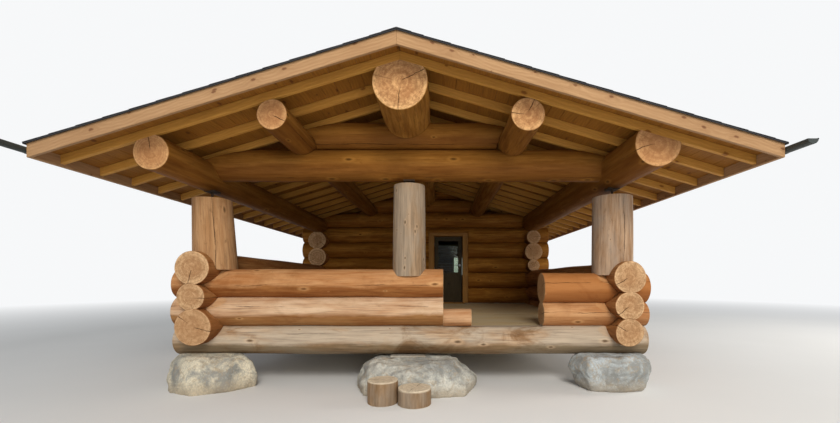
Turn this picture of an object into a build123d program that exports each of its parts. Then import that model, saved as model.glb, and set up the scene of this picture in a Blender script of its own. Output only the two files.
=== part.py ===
from build123d import *
import os
from math import cos, hypot, pi, sin, sqrt

# A log cabin of scribed round logs with a deep open porch under one gable roof.
# X runs to the right, Y from the porch's front to the back, Z up, in millimetres.
# The origin lies on the ground under the middle of the roof.

# Clearances between pieces
scribe_gap = 0.4
seat_gap = 0.3
door_gap = 6.0
latch_gap = 8.0

# Plan: centre lines of the walls
half_width = 2770.0
porch_depth = 5000.0
room_depth = 3600.0
front_y = -(porch_depth + room_depth) / 2
cabin_y = front_y + porch_depth
rear_y = cabin_y + room_depth

# How far logs run past the crossing wall's centre line
sill_tail = 375.0
rail_tail = 400.0
cabin_cross_tail = 446.0
side_tail = 370.0
cabin_side_tail = 410.0

# How deep a log is scribed over the parallel log below it
scribe_depth = 25.0
groove_run_out = 60.0

# Scarfs: a long shallow scoop on each shoulder of a log, where another log crosses over it
scarf_reach = 340.0
scarf_depth = 42.0
scarf_radius = scarf_reach**2 / (2 * scarf_depth)

# Sill logs and the floor
sill_height = 600.0
sill_radius = 200.0
floor_level = 776.0
floor_thickness = 40.0
floor_bearing = 70.0
joist_width = 70.0
joist_depth = 160.0
joist_spacing = 850.0
joist_count = 6

# Radii of the logs, from the lowest up
left_rail_radii = (205.0, 197.0)
right_rail_radii = (170.0, 207.0)
entry_log_radius = 130.0
left_side_radii = (235.0, 177.0, 219.0)
right_side_radii = (180.0, 184.0, 206.0)
left_cabin_side_radii = (230.0, 224.0)
right_cabin_side_radii = (150.0, 225.0, 176.0)
left_plate_radius = 197.0
right_plate_radius = 252.0
cross_radii = (210.0, 211.0, 210.0, 212.0, 209.0)
tie_radius = 212.0
upper_tie_radius = 195.0
gable_top_radius = 170.0

# The first side log rides this far above the sill's centre
left_side_rise = 202.0
right_side_rise = 136.0

# How far the side logs lie off the wall's centre line
left_side_shifts = (0.0, -27.0, -10.0, 0.0, 0.0)
right_side_shifts = (38.0, 40.0, 46.0, 0.0, 0.0, 0.0)

# Openings in the front rail wall
entry_left = 430.0
entry_right = 1770.0
entry_log_end = 810.0

# Roof: the ridge lies left of the middle, and both eaves are equally high
ridge_x = -48.0
left_eave_x = -3780.0
right_eave_x = 3870.0
plate_bearing = 27.0
eave_drop = 1145.0
rafter_depth = 90.0
rafter_width = 50.0
rafter_count = 23
deck_thickness = 25.0
roofing_thickness = 10.0
log_overhang = 1080.0
barge_overhang = 1400.0
barge_thickness = 36.0
barge_drop = 22.0
fascia_thickness = 28.0
roofing_lip = 22.0
cap_half_width = 150.0
cap_thickness = 6.0

# Purlins and ridge
purlin_offset = 1400.0
left_purlin_radius = 166.0
right_purlin_radius = 183.0
ridge_radius = 307.0
ridge_drop = 236.0
bearing_flat = 6.0

# Posts
left_post_inset = 87.0
left_post_lean = -47.0
left_post_radii = (282.0, 243.0)
right_post_inset = 27.0
right_post_radii = (266.0, 257.0)
centre_post_x = -33.0
centre_post_radii = (225.0, 214.0)
centre_post_lap = 97.0
left_post_lap = 10.0
right_post_lap = 35.0
jack_height = 112.0
centre_jack_height = 64.0
jack_plate = 150.0
jack_plate_thickness = 10.0
jack_screw_radius = 16.0
jack_head_rise = 12.0

# Boulders and steps
boulder_cradle = 30.0
corner_boulder_inset = 140.0
front_boulder_forward = 170.0
rear_boulder_inset = 170.0
middle_boulder_x = 60.0
shim_x = -40.0
shim_half_length = 230.0
shim_half_depth = 170.0
shim_thickness = 30.0
shim_cradle = 8.0
tall_stump_radius = 181.0
tall_stump_height = 262.0
short_stump_radius = 193.0
short_stump_height = 190.0
tall_stump_x = -270.0
tall_stump_forward = 840.0
short_stump_back = 60.0

# Door in the cabin's front wall
door_left = 220.0
door_right = 970.0
door_bottom = 800.0
door_top = 2550.0
jamb_thickness = 50.0
jamb_depth = 240.0
casing_width = 90.0
casing_head = 50.0
casing_thickness = 25.0
leaf_thickness = 45.0
leaf_stile = 105.0
leaf_lock_rail_top = 1600.0
leaf_top_rail = 110.0
leaf_panel_recess = 12.0
leaf_bottom_rail = 180.0
leaf_lock_rail = 120.0
glass_thickness = 12.0
glass_rebate = 12.0
handle_height = 1790.0
handle_setback = 60.0
hinge_barrel_radius = 9.0
hinge_length = 100.0
hinge_plate_thickness = 3.0
hinge_plate_width = 40.0
rose_radius = 26.0
rose_thickness = 8.0
lever_radius = 9.0
lever_reach = 55.0
lever_length = 120.0
hinge_heights = (1000.0, 1680.0, 2350.0)

# Window in the rear wall
window_left = 800.0
window_right = 1620.0
window_bottom = 1500.0
window_top = 2250.0
window_frame_width = 60.0
window_frame_depth = 260.0
window_glass_thickness = 24.0

# Gutters
gutter_radius = 52.0
gutter_wall = 3.0
gutter_overrun = 240.0
gutter_drop = 12.0

left_slope = eave_drop / (ridge_x - left_eave_x)
right_slope = eave_drop / (right_eave_x - ridge_x)
middle_x = (left_eave_x + right_eave_x) / 2


class Log:
    """A round log lying along X or Y, with its place across and its height at the centre."""

    def __init__(self, along, start, end, across, height, radius):
        self.along = along
        self.start = start
        self.end = end
        self.across = across
        self.height = height
        self.radius = radius
        self.crossings = []
        self.made = {}

    def point(self, place, across, up):
        """A point from its place along the log and its distances from the log's centre line."""
        if self.along == "X":
            return Vector(place, self.across + across, self.height + up)
        return Vector(self.across + across, place, self.height + up)

    def scoop(self, place, side, gap):
        """The large round that cuts the scarf on one shoulder."""
        away = (self.radius - scarf_depth + scarf_radius) / sqrt(2)
        half = self.radius / sqrt(2)
        start = self.point(place, side * away - half, away + side * half)
        end = self.point(place, side * away + half, away - side * half)
        return Solid.make_cylinder(scarf_radius - gap, 2 * self.radius, Plane(start, z_dir=end - start))

    def stretch(self, start, end, crossings, gap):
        """The log between two places, with its scarfs at these crossings and its faces moved out."""
        foot = self.point(start, 0, 0)
        tip = self.point(end, 0, 0)
        body = Solid.make_cylinder(self.radius + gap, end - start, Plane(foot, z_dir=tip - foot))
        return carve(body, [self.scoop(place, side, gap) for place in crossings for side in (-1, 1)])

    def solid(self, gap=0.0):
        """The whole log, all its faces moved out by the gap."""
        if gap not in self.made:
            self.made[gap] = self.stretch(self.start, self.end, self.crossings, gap)
        return self.made[gap]

    def meets(self, other):
        """Whether this log lies on or across the other one."""
        apart = abs(self.height - other.height)
        if self.along == other.along:
            apart = hypot(apart, self.across - other.across)
            reaches = self.start < other.end and other.start < self.end
        else:
            reaches = self.start < other.across < self.end and other.start < self.across < other.end
        return reaches and apart < self.radius + other.radius

    def cutter(self, log):
        """What this log takes out of another log that is fitted over it."""
        if self.along == log.along:
            return self.stretch(self.start - groove_run_out, self.end + groove_run_out, [], scribe_gap)
        reach = log.radius + groove_run_out
        crossings = [place for place in self.crossings if place == log.across]
        saddle = self.stretch(log.across - reach, log.across + reach, crossings, scribe_gap)
        foot = log.height - log.radius
        if foot < self.height:
            # Below the widest place the notch has upright sides, so that the log can be set down
            half = self.radius + scribe_gap
            corner = self.point(log.across - reach, -half, foot - groove_run_out - self.height)
            opposite = self.point(log.across + reach, half, 0)
            saddle += box(corner.X, opposite.X, corner.Y, opposite.Y, corner.Z, opposite.Z)
        return saddle


def box(x_from, x_to, y_from, y_to, z_from, z_to):
    return Solid.make_box(x_to - x_from, y_to - y_from, z_to - z_from, Plane((x_from, y_from, z_from)))


def prism(outline, y_from, y_to):
    """A solid with an outline of (x, z) points, running along Y."""
    face = Face(Wire.make_polygon([(x, y_from, z) for x, z in outline]))
    return Solid.extrude(face, Vector(0, y_to - y_from, 0))


def carve(body, cutters):
    """The body without the cutters, as the one piece that is left."""
    for cutter in cutters:
        body = max((body - cutter).solids(), key=lambda piece: piece.volume)
    return body


def scribe(log, lower, others=()):
    """A log fitted over the lower logs, with a groove along it and a saddle at each crossing."""
    cutters = [other.cutter(log) for other in lower]
    return carve(log.solid(), cutters + list(others))


def save(name, *solids):
    """Writes one node, moved so that the middle of the roof is over the origin."""
    shape = solids[0] if len(solids) == 1 else Compound(children=list(solids))
    export_step(Pos(-middle_x, 0, 0) * shape, f"parts/{name}.step")


def underside(x):
    """Height of the rafters' underside."""
    slope = left_slope if x < ridge_x else right_slope
    return apex_underside - slope * abs(x - ridge_x)


def steepness(side):
    return left_slope if side < 0 else right_slope


def plumb(side, thickness):
    """How high a sloping board of this thickness measures plumb."""
    return thickness * hypot(1, steepness(side))


def sloping(side, x_from, x_to, lift, thickness, y_from, y_to):
    """A board or sheet in the roof slope, lifted off the rafters' underside, with plumb ends."""
    low = plumb(side, lift)
    high = plumb(side, lift + thickness)
    outline = [
        (x_from, underside(x_from) + low),
        (x_to, underside(x_to) + low),
        (x_to, underside(x_to) + high),
        (x_from, underside(x_from) + high),
    ]
    return prism(outline, y_from, y_to)


def stack(base_height, base_radius, radii):
    """Heights of logs laid one on another, each scribed over the one below."""
    heights = []
    height = base_height
    below = base_radius
    for radius in radii:
        height += below + radius - scribe_depth
        heights.append(height)
        below = radius
    return heights


def tapered(x, lean, z_from, z_to, radii):
    """A round post on the front wall's line, cut level at both ends, its top off plumb by the lean."""
    beyond = 30.0
    rise = z_to - z_from
    share = beyond / rise
    base_radius = radii[0] + share * (radii[0] - radii[1])
    top_radius = radii[1] - share * (radii[0] - radii[1])
    start = Vector(x - share * lean, front_y, z_from - beyond)
    axis = Vector(lean, 0, rise)
    cone = Solid.make_cone(base_radius, top_radius, axis.length * (1 + 2 * share), Plane(start, z_dir=axis))
    reach = 2 * radii[0]
    return (cone & box(x - reach, x + reach, front_y - reach, front_y + reach, z_from, z_to)).solid()


os.makedirs("parts", exist_ok=True)

sill_ends = half_width + sill_tail
rail_ends = half_width + rail_tail
cross_ends = half_width + cabin_cross_tail
side_start = front_y - side_tail
side_end = rear_y + side_tail
log_start = front_y - log_overhang
log_end = rear_y + log_overhang
roof_start = front_y - barge_overhang
roof_end = rear_y + barge_overhang

# Heights of the side logs, and of the roof that rests on the left plate log
left_heights = [sill_height + left_side_rise]
left_heights += stack(left_heights[0], left_side_radii[0], left_side_radii[1:] + left_cabin_side_radii)
right_heights = [sill_height + right_side_rise]
right_heights += stack(right_heights[0], right_side_radii[0], right_side_radii[1:] + right_cabin_side_radii)
left_plate_height = stack(left_heights[-1], left_cabin_side_radii[-1], [left_plate_radius])[0]
right_plate_height = stack(right_heights[-1], right_cabin_side_radii[-1], [right_plate_radius])[0]
plate_top = left_plate_height + left_plate_radius
apex_underside = plate_top - plate_bearing + left_slope * (ridge_x + half_width)
ridge_height = apex_underside - ridge_drop

# Everything above the rafters' underside, which logs under the roof are cut to
above = 1500.0
beyond_roof = prism(
    [
        (left_eave_x, underside(left_eave_x) - seat_gap),
        (ridge_x, apex_underside - seat_gap),
        (right_eave_x, underside(right_eave_x) - seat_gap),
        (right_eave_x, apex_underside + above),
        (left_eave_x, apex_underside + above),
    ],
    roof_start,
    roof_end,
)

# Sill logs, with a flat shelf for the floor
front_sill = Log("X", -sill_ends, sill_ends, front_y, sill_height, sill_radius)
cabin_sill = Log("X", -sill_ends, sill_ends, cabin_y, sill_height, sill_radius)
rear_sill = Log("X", -sill_ends, sill_ends, rear_y, sill_height, sill_radius)
sills = [front_sill, cabin_sill, rear_sill]

floor_bottom = floor_level - floor_thickness


def floor_shelf(y_from, y_to):
    return box(-sill_ends, sill_ends, y_from, y_to, floor_bottom - seat_gap, floor_level + above)


walked_flat = box(
    entry_left, entry_right, front_y - sill_radius, front_y + sill_radius, floor_level, floor_level + above
)
front_shelf = floor_shelf(front_y + floor_bearing, front_y + sill_radius)
cabin_shelves = [
    floor_shelf(cabin_y - sill_radius, cabin_y - floor_bearing),
    floor_shelf(cabin_y + floor_bearing, cabin_y + sill_radius),
]
rear_shelf = floor_shelf(rear_y - sill_radius, rear_y - floor_bearing)

# Side logs: full length along the porch rails, then the cabin's own
def side_logs(x, heights, shifts, rail_radii, cabin_radii):
    logs = []
    for height, shift, radius in zip(heights, shifts, rail_radii + cabin_radii):
        rail = len(logs) < len(rail_radii)
        start = side_start if rail else cabin_y - cabin_side_tail
        logs.append(Log("Y", start, side_end, x + shift, height, radius))
    return logs


left_sides = side_logs(-half_width, left_heights, left_side_shifts, left_side_radii, left_cabin_side_radii)
right_sides = side_logs(half_width, right_heights, right_side_shifts, right_side_radii, right_cabin_side_radii)

left_plate = Log("Y", log_start, log_end, -half_width, left_plate_height, left_plate_radius)
right_plate = Log("Y", log_start, log_end, half_width, right_plate_height, right_plate_radius)

# Front rails on each side of the way in
left_rail_heights = stack(sill_height, sill_radius, left_rail_radii)
right_rail_heights = stack(sill_height, sill_radius, right_rail_radii)
left_rails = [
    Log("X", -rail_ends, entry_left, front_y, height, radius)
    for height, radius in zip(left_rail_heights, left_rail_radii)
]
right_rails = [
    Log("X", entry_right, rail_ends, front_y, height, radius)
    for height, radius in zip(right_rail_heights, right_rail_radii)
]
entry_log = Log(
    "X", entry_left + seat_gap, entry_log_end, front_y, floor_level + entry_log_radius - scribe_depth,
    entry_log_radius,
)

# Cross walls of the cabin
cross_heights = stack(sill_height, sill_radius, cross_radii)
tie_height = stack(cross_heights[-1], cross_radii[-1], [tie_radius])[0]
upper_tie_height = stack(tie_height, tie_radius, [upper_tie_radius])[0]
gable_top_height = stack(upper_tie_height, upper_tie_radius, [gable_top_radius])[0]


def cross_wall(y):
    return [
        Log("X", -cross_ends, cross_ends, y, height, radius)
        for height, radius in zip(cross_heights, cross_radii)
    ]


cabin_courses = cross_wall(cabin_y)
rear_courses = cross_wall(rear_y)

# Ties, purlins and ridge
ties = [Log("X", -half_width, half_width, y, tie_height, tie_radius) for y in (front_y, cabin_y, rear_y)]


def purlin(side, radius):
    x = ridge_x + side * purlin_offset
    height = underside(x) - plumb(side, radius - bearing_flat)
    return Log("Y", log_start, log_end, x, height, radius)


left_purlin = purlin(-1, left_purlin_radius)
right_purlin = purlin(1, right_purlin_radius)
ridge = Log("Y", log_start, log_end, ridge_x, ridge_height, ridge_radius)
upper_front_tie = Log("X", left_purlin.across, right_purlin.across, front_y, upper_tie_height, upper_tie_radius)

# Logs from the ground up: each is fitted over every lower log that it meets
wall_logs = sills + left_sides + right_sides + left_rails + right_rails + cabin_courses + rear_courses
for log in wall_logs:
    for other in wall_logs:
        if other.height > log.height and other.along != log.along and other.meets(log):
            log.crossings.append(other.across)
wall_logs += [left_plate, right_plate]
wall_logs.sort(key=lambda log: log.height)


def laid(log, others=()):
    lower = wall_logs[: wall_logs.index(log)]
    return scribe(log, [other for other in lower if log.meets(other)], others)


save("front_sill_log", carve(front_sill.solid(), [front_shelf, walked_flat]))
save("rear_sill_log", carve(rear_sill.solid(), [rear_shelf]))
save("left_front_rails", *[laid(log) for log in left_rails])
save("right_front_rails", *[laid(log) for log in right_rails])
below_entry_log = box(
    entry_left, entry_log_end + seat_gap, front_y - sill_radius, front_y + sill_radius,
    0, floor_level + seat_gap,
)
save("entry_log", carve(entry_log.solid(), [below_entry_log]))
save("left_side_logs", *[laid(log) for log in left_sides])
save("right_side_logs", *[laid(log) for log in right_sides])
left_plate_solid = laid(left_plate, [beyond_roof])
right_plate_solid = laid(right_plate, [beyond_roof])
save("left_plate_log", left_plate_solid)
save("right_plate_log", right_plate_solid)
save("front_tie_beam", scribe(ties[0], [left_plate, right_plate], [beyond_roof]))
purlins = [scribe(log, ties, [beyond_roof]) for log in (left_purlin, right_purlin)]
save("purlin_logs", *purlins)
save("front_upper_tie", scribe(upper_front_tie, [ties[0], left_purlin, right_purlin], [beyond_roof]))


# Gable logs over each cabin wall, cut to the roof slope
def gable_span(height, radius):
    """Where a gable log's lower edge meets the roof slope."""
    low = apex_underside - (height - radius)
    return ridge_x - low / left_slope, ridge_x + low / right_slope


def gable(y, tie):
    upper_from, upper_to = gable_span(upper_tie_height, upper_tie_radius)
    upper = Log("X", upper_from, upper_to, y, upper_tie_height, upper_tie_radius)
    top_from, top_to = gable_span(gable_top_height, gable_top_radius)
    top_left = Log("X", top_from, ridge_x, y, gable_top_height, gable_top_radius)
    top_right = Log("X", ridge_x, top_to, y, gable_top_height, gable_top_radius)
    course = cabin_courses[-1] if y == cabin_y else rear_courses[-1]
    pieces = [
        scribe(tie, [course, left_plate, right_plate], [beyond_roof]),
        scribe(upper, [tie, left_purlin, right_purlin], [beyond_roof]),
        scribe(top_left, [upper, left_purlin, ridge], [beyond_roof]),
        scribe(top_right, [upper, right_purlin, ridge], [beyond_roof]),
    ]
    return upper, pieces


cabin_upper, cabin_gable = gable(cabin_y, ties[1])
rear_upper, rear_gable = gable(rear_y, ties[2])
save("rear_gable_logs", *rear_gable)
save("ridge_log", scribe(ridge, [upper_front_tie, cabin_upper, rear_upper], [beyond_roof]))


# Door: the way through the logs, its frame, the leaf and its fittings
buck_left = door_left - jamb_thickness
buck_right = door_right + jamb_thickness
buck_top = door_top + jamb_thickness
frame_front = cabin_y - jamb_depth / 2
frame_back = cabin_y + jamb_depth / 2
casing_front = frame_front - casing_thickness
through = sill_radius + casing_width
casing_top = buck_top + casing_head
door_way = box(
    buck_left - seat_gap, buck_right + seat_gap, cabin_y - through, cabin_y + through,
    floor_level, buck_top + seat_gap,
)
casing_flat = box(
    buck_left - casing_width - seat_gap, buck_right + casing_width + seat_gap, cabin_y - through,
    frame_front - seat_gap, floor_level, casing_top + seat_gap,
)
inner_flat = box(
    buck_left - casing_width - seat_gap, buck_right + casing_width + seat_gap, frame_back, cabin_y + through,
    floor_level, casing_top + seat_gap,
)
left_of_door = []
right_of_door = []
for log in cabin_courses:
    whole = carve(laid(log), [casing_flat, inner_flat])
    parts = sorted((whole - door_way).solids(), key=lambda piece: piece.center().X)
    if len(parts) > 1:
        left_of_door.append(parts[0])
        right_of_door.append(parts[-1])
    else:
        cabin_gable.insert(0, parts[0])
save("cabin_sill_log", carve(cabin_sill.solid(), cabin_shelves + [door_way]))
save("cabin_wall_left_of_door", *left_of_door)
save("cabin_wall_right_of_door", *right_of_door)
save("cabin_gable_logs", *cabin_gable)

jambs = [
    box(buck_left, door_left, frame_front, frame_back, floor_level + seat_gap, door_top),
    box(door_right, buck_right, frame_front, frame_back, floor_level + seat_gap, door_top),
    box(buck_left, buck_right, frame_front, frame_back, door_top + seat_gap, buck_top),
    box(
        door_left + seat_gap, door_right - seat_gap, frame_front, frame_back,
        floor_level + seat_gap, door_bottom,
    ),
]
casings = [
    box(buck_left - casing_width, door_left, casing_front, frame_front - seat_gap, door_bottom, door_top),
    box(door_right, buck_right + casing_width, casing_front, frame_front - seat_gap, door_bottom, door_top),
    box(
        buck_left - casing_width, buck_right + casing_width, casing_front, frame_front - seat_gap,
        door_top + seat_gap, casing_top,
    ),
]
save("door_frame", *jambs)
save("door_casing", *casings)

# The leaf closes flush with the room side of the frame
leaf_left = door_left + door_gap
leaf_right = door_right - latch_gap
leaf_bottom = door_bottom + door_gap
leaf_top = door_top - door_gap
leaf_back = frame_back
leaf_front = leaf_back - leaf_thickness
pane_left = leaf_left + leaf_stile
pane_right = leaf_right - leaf_stile
pane_bottom = leaf_lock_rail_top
pane_top = leaf_top - leaf_top_rail
panel_top = leaf_lock_rail_top - leaf_lock_rail
panel_bottom = leaf_bottom + leaf_bottom_rail
glass_front = (leaf_front + leaf_back - glass_thickness) / 2
leaf = box(leaf_left, leaf_right, leaf_front, leaf_back, leaf_bottom, leaf_top)
leaf -= box(pane_left, pane_right, leaf_front, leaf_back, pane_bottom, pane_top)
leaf -= box(
    pane_left - glass_rebate - seat_gap, pane_right + glass_rebate + seat_gap,
    glass_front - seat_gap, glass_front + glass_thickness + seat_gap,
    pane_bottom - glass_rebate - seat_gap, pane_top + glass_rebate + seat_gap,
)
for panel_front in (leaf_front, leaf_back - leaf_panel_recess):
    leaf -= box(pane_left, pane_right, panel_front, panel_front + leaf_panel_recess, panel_bottom, panel_top)
save("door_leaf", leaf.solid())
save("door_glass", box(
    pane_left - glass_rebate, pane_right + glass_rebate, glass_front, glass_front + glass_thickness,
    pane_bottom - glass_rebate, pane_top + glass_rebate,
))

# Lever handles: a rose, a neck and a lever on each face
handle_x = leaf_right - handle_setback
handles = []
for face_y, out in ((leaf_front, -1), (leaf_back, 1)):
    foot = Plane((handle_x, face_y + out * seat_gap, handle_height), z_dir=(0, out, 0))
    rose = Solid.make_cylinder(rose_radius, rose_thickness, foot)
    neck = Solid.make_cylinder(lever_radius, lever_reach, foot)
    lever = Solid.make_cylinder(
        lever_radius, lever_length,
        Plane((handle_x + lever_radius, face_y + out * (seat_gap + lever_reach - lever_radius), handle_height),
              z_dir=(-1, 0, 0)),
    )
    handles.append((rose + neck + lever).solid())
save("door_handle", *handles)

# Butt hinges: the upper knuckle turns with the leaf, the lower one stays on the frame
hinge_x = door_left + door_gap / 2
hinge_y = leaf_back + hinge_barrel_radius
leaf_hinges = []
frame_hinges = []
for height in hinge_heights:
    for low, high, side, hinges in (
        (height + seat_gap, height + hinge_length / 2, 1, leaf_hinges),
        (height - hinge_length / 2, height, -1, frame_hinges),
    ):
        knuckle = Solid.make_cylinder(hinge_barrel_radius, high - low, Plane((hinge_x, hinge_y, low)))
        edge = hinge_x + side * hinge_plate_width
        plate = box(
            min(hinge_x, edge), max(hinge_x, edge),
            leaf_back + seat_gap, leaf_back + seat_gap + hinge_plate_thickness,
            low, high,
        )
        hinges.append((knuckle + plate).solid())
save("door_hinges", *leaf_hinges)
save("frame_hinges", *frame_hinges)

# Rear window: a hole through the logs, a frame and one pane
window_way = box(
    window_left - seat_gap, window_right + seat_gap, rear_y - through, rear_y + through,
    window_bottom - seat_gap, window_top + seat_gap,
)
rear_logs = []
for log in rear_courses:
    rear_logs += [piece for piece in (laid(log) - window_way).solids()]
save("rear_wall_logs", *rear_logs)


def window_ring(inset, inner_inset, y_from, y_to):
    outer = box(
        window_left + inset, window_right - inset, y_from, y_to, window_bottom + inset, window_top - inset
    )
    return outer - box(
        window_left + inner_inset, window_right - inner_inset, y_from, y_to,
        window_bottom + inner_inset, window_top - inner_inset,
    )


pane_y = rear_y - window_glass_thickness / 2
window = window_ring(0, window_frame_width, rear_y - window_frame_depth / 2, rear_y + window_frame_depth / 2)
window -= box(
    window_left + window_frame_width - glass_rebate - seat_gap,
    window_right - window_frame_width + glass_rebate + seat_gap,
    pane_y - seat_gap, pane_y + window_glass_thickness + seat_gap,
    window_bottom + window_frame_width - glass_rebate - seat_gap,
    window_top - window_frame_width + glass_rebate + seat_gap,
)
save("window_frame", window.solid())
save("window_glass", box(
    window_left + window_frame_width - glass_rebate, window_right - window_frame_width + glass_rebate,
    pane_y, pane_y + window_glass_thickness,
    window_bottom + window_frame_width - glass_rebate, window_top - window_frame_width + glass_rebate,
))

# Posts: each is notched down over the logs below and stops short of the log above
left_post_top = left_plate.height - left_plate.radius - jack_height
right_post_top = right_plate.height - right_plate.radius - jack_height
centre_post_top = tie_height - tie_radius - centre_jack_height
left_post_foot = left_rails[-1].height + left_rails[-1].radius - left_post_lap
right_post_foot = right_rails[-1].height + right_rails[-1].radius - right_post_lap
centre_post_foot = left_rails[-1].height + left_rails[-1].radius - centre_post_lap
left_post_x = -half_width + left_post_inset
right_post_x = half_width - right_post_inset
posts = {
    "left_post": (
        tapered(left_post_x, left_post_lean, left_post_foot, left_post_top, left_post_radii),
        [left_rails[-1], left_sides[2], left_sides[1]],
    ),
    "right_post": (
        tapered(right_post_x, 0, right_post_foot, right_post_top, right_post_radii),
        [right_rails[-1], right_sides[2], right_sides[1]],
    ),
    "centre_post": (
        tapered(centre_post_x, 0, centre_post_foot, centre_post_top, centre_post_radii),
        [left_rails[-1]],
    ),
}
for name, (post, below) in posts.items():
    save(name, carve(post, [log.solid(scribe_gap) for log in below]))


# Screw jacks let the roof settle onto the posts
def jack(x, foot, top, log):
    half = jack_plate / 2
    base = box(
        x - half, x + half, front_y - half, front_y + half,
        foot + seat_gap, foot + seat_gap + jack_plate_thickness,
    )
    head = box(
        x - half, x + half, front_y - half, front_y + half,
        top - jack_plate_thickness, top + jack_head_rise,
    )
    screw = Solid.make_cylinder(jack_screw_radius, top - foot - seat_gap, Plane((x, front_y, foot + seat_gap)))
    return carve((base + head + screw).solid(), [log.solid(seat_gap)])


save(
    "post_jacks",
    jack(left_post_x + left_post_lean, left_post_top, left_post_top + jack_height, left_plate),
    jack(right_post_x, right_post_top, right_post_top + jack_height, right_plate),
    jack(centre_post_x, centre_post_top, centre_post_top + centre_jack_height, ties[0]),
)


# Boulders under the sills and the two cut stumps that serve as steps
rock_outline = (1.0, 0.94, 1.06, 0.92, 1.02, 0.95, 1.05, 0.9)
lying = ((0.0, 1.0), (0.35, 1.02), (0.75, 0.9), (1.0, 0.7))
standing = ((0.0, 0.78), (0.3, 0.92), (0.62, 1.02), (0.85, 0.94), (1.0, 0.76))


def boulder(x, y, half_length, half_depth, turn, sections, top):
    """A rough block that stands on the ground, its outline turned so that no two look alike."""
    rings = []
    count = len(rock_outline)
    for level, size in sections:
        ring = []
        for corner in range(count):
            angle = 2 * pi * corner / count
            reach = size * rock_outline[(corner + turn) % count]
            across = half_length * reach * cos(angle)
            back = half_depth * reach * sin(angle)
            ring.append((x + across, y + back, top * level))
        rings.append(Wire.make_polygon(ring))
    return Solid.make_loft(rings, ruled=True)


def cradle(x, y, half_length, half_depth, turn, sections, sill):
    """A boulder with a hollow in its top for the sill it carries."""
    top = sill.height - sill.radius + boulder_cradle
    return carve(boulder(x, y, half_length, half_depth, turn, sections, top), [sill.solid(seat_gap)])


tall_stump_y = front_y - tall_stump_forward
between = tall_stump_radius + short_stump_radius + seat_gap
short_stump_y = tall_stump_y - short_stump_back
short_stump_x = tall_stump_x + sqrt(between**2 - short_stump_back**2)
save(
    "step_stumps",
    Solid.make_cylinder(tall_stump_radius, tall_stump_height, Plane((tall_stump_x, tall_stump_y, 0))),
    Solid.make_cylinder(short_stump_radius, short_stump_height, Plane((short_stump_x, short_stump_y, 0))),
)

stump_clearance = [
    Solid.make_cylinder(tall_stump_radius + seat_gap, above, Plane((tall_stump_x, tall_stump_y, -1))),
    Solid.make_cylinder(short_stump_radius + seat_gap, above, Plane((short_stump_x, short_stump_y, -1))),
]
boulder_y = front_y - front_boulder_forward
boulder_x = half_width - corner_boulder_inset
flat_top = sill_height - sill_radius - shim_thickness
middle = boulder(middle_boulder_x, boulder_y, 860, 620, 3, lying, flat_top)
shim = box(
    shim_x - shim_half_length, shim_x + shim_half_length, front_y - shim_half_depth, front_y + shim_half_depth,
    flat_top + seat_gap, flat_top + shim_thickness + shim_cradle,
)
save(
    "front_boulders",
    cradle(-boulder_x, boulder_y, 575, 440, 0, lying, front_sill),
    carve(middle, stump_clearance),
    carve(shim, [front_sill.solid(seat_gap)]),
    cradle(boulder_x, boulder_y, 560, 430, 5, standing, front_sill),
)
rear_boulders = []
turn = 1
for sill in (cabin_sill, rear_sill):
    for x in (-half_width + rear_boulder_inset, middle_boulder_x, half_width - rear_boulder_inset):
        rear_boulders.append(cradle(x, sill.across, 560, 400, turn, lying, sill))
        turn += 2
save("rear_boulders", *rear_boulders)

# Floors and the joists between the sills
left_side_low = left_sides[0]
right_side_low = right_sides[0]


def floor(y_from, y_to):
    slab = box(-half_width, half_width, y_from, y_to, floor_bottom, floor_level)
    return carve(slab, [left_side_low.solid(seat_gap), right_side_low.solid(seat_gap)])


save("porch_floor", floor(front_y + floor_bearing + seat_gap, cabin_y - floor_bearing - seat_gap))
save("cabin_floor", floor(cabin_y + floor_bearing + seat_gap, rear_y - floor_bearing - seat_gap))
joists = []
for near, far in ((front_sill, cabin_sill), (cabin_sill, rear_sill)):
    for number in range(joist_count):
        x = (number - (joist_count - 1) / 2) * joist_spacing
        joist = box(
            x - joist_width / 2, x + joist_width / 2, near.across, far.across,
            floor_bottom - seat_gap - joist_depth, floor_bottom - seat_gap,
        )
        joists.append(carve(joist, [near.solid(seat_gap), far.solid(seat_gap)]))
save("floor_joists", *joists)

# Roof: rafters, deck, roofing, edge boards and gutters
rafter_spacing = (log_end - log_start - rafter_width) / (rafter_count - 1)
deck_start = roof_start + barge_thickness + seat_gap
deck_end = roof_end - barge_thickness - seat_gap
for side, name, eave_x in ((-1, "left", left_eave_x), (1, "right", right_eave_x)):
    tail_x = eave_x - side * (fascia_thickness + seat_gap)
    peak_x = ridge_x + side * seat_gap / 2
    rafters = []
    for number in range(rafter_count):
        start = log_start + number * rafter_spacing
        rafters.append(sloping(side, peak_x, tail_x, 0, rafter_depth, start, start + rafter_width))
    save(f"{name}_rafters", *rafters)
    deck_lift = rafter_depth + seat_gap
    save(f"{name}_roof_deck", sloping(side, peak_x, eave_x, deck_lift, deck_thickness, deck_start, deck_end))
    roofing_lift = deck_lift + deck_thickness + seat_gap
    save(f"{name}_roofing", sloping(
        side, peak_x, eave_x + side * roofing_lip, roofing_lift, roofing_thickness,
        roof_start - roofing_lip, roof_end + roofing_lip,
    ))

cap_lift = roofing_lift + roofing_thickness + seat_gap
cap = [
    sloping(side, ridge_x + side * seat_gap / 2, ridge_x + side * cap_half_width, cap_lift, cap_thickness,
            roof_start - roofing_lip, roof_end + roofing_lip)
    for side in (-1, 1)
]
save("ridge_cap", *cap)


def barge_boards(y_from, y_to):
    boards = []
    for side, eave_x in ((-1, left_eave_x), (1, right_eave_x)):
        depth = rafter_depth + seat_gap + deck_thickness + barge_drop
        boards.append(sloping(side, ridge_x + side * seat_gap / 2, eave_x, -barge_drop, depth, y_from, y_to))
    return boards


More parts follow.
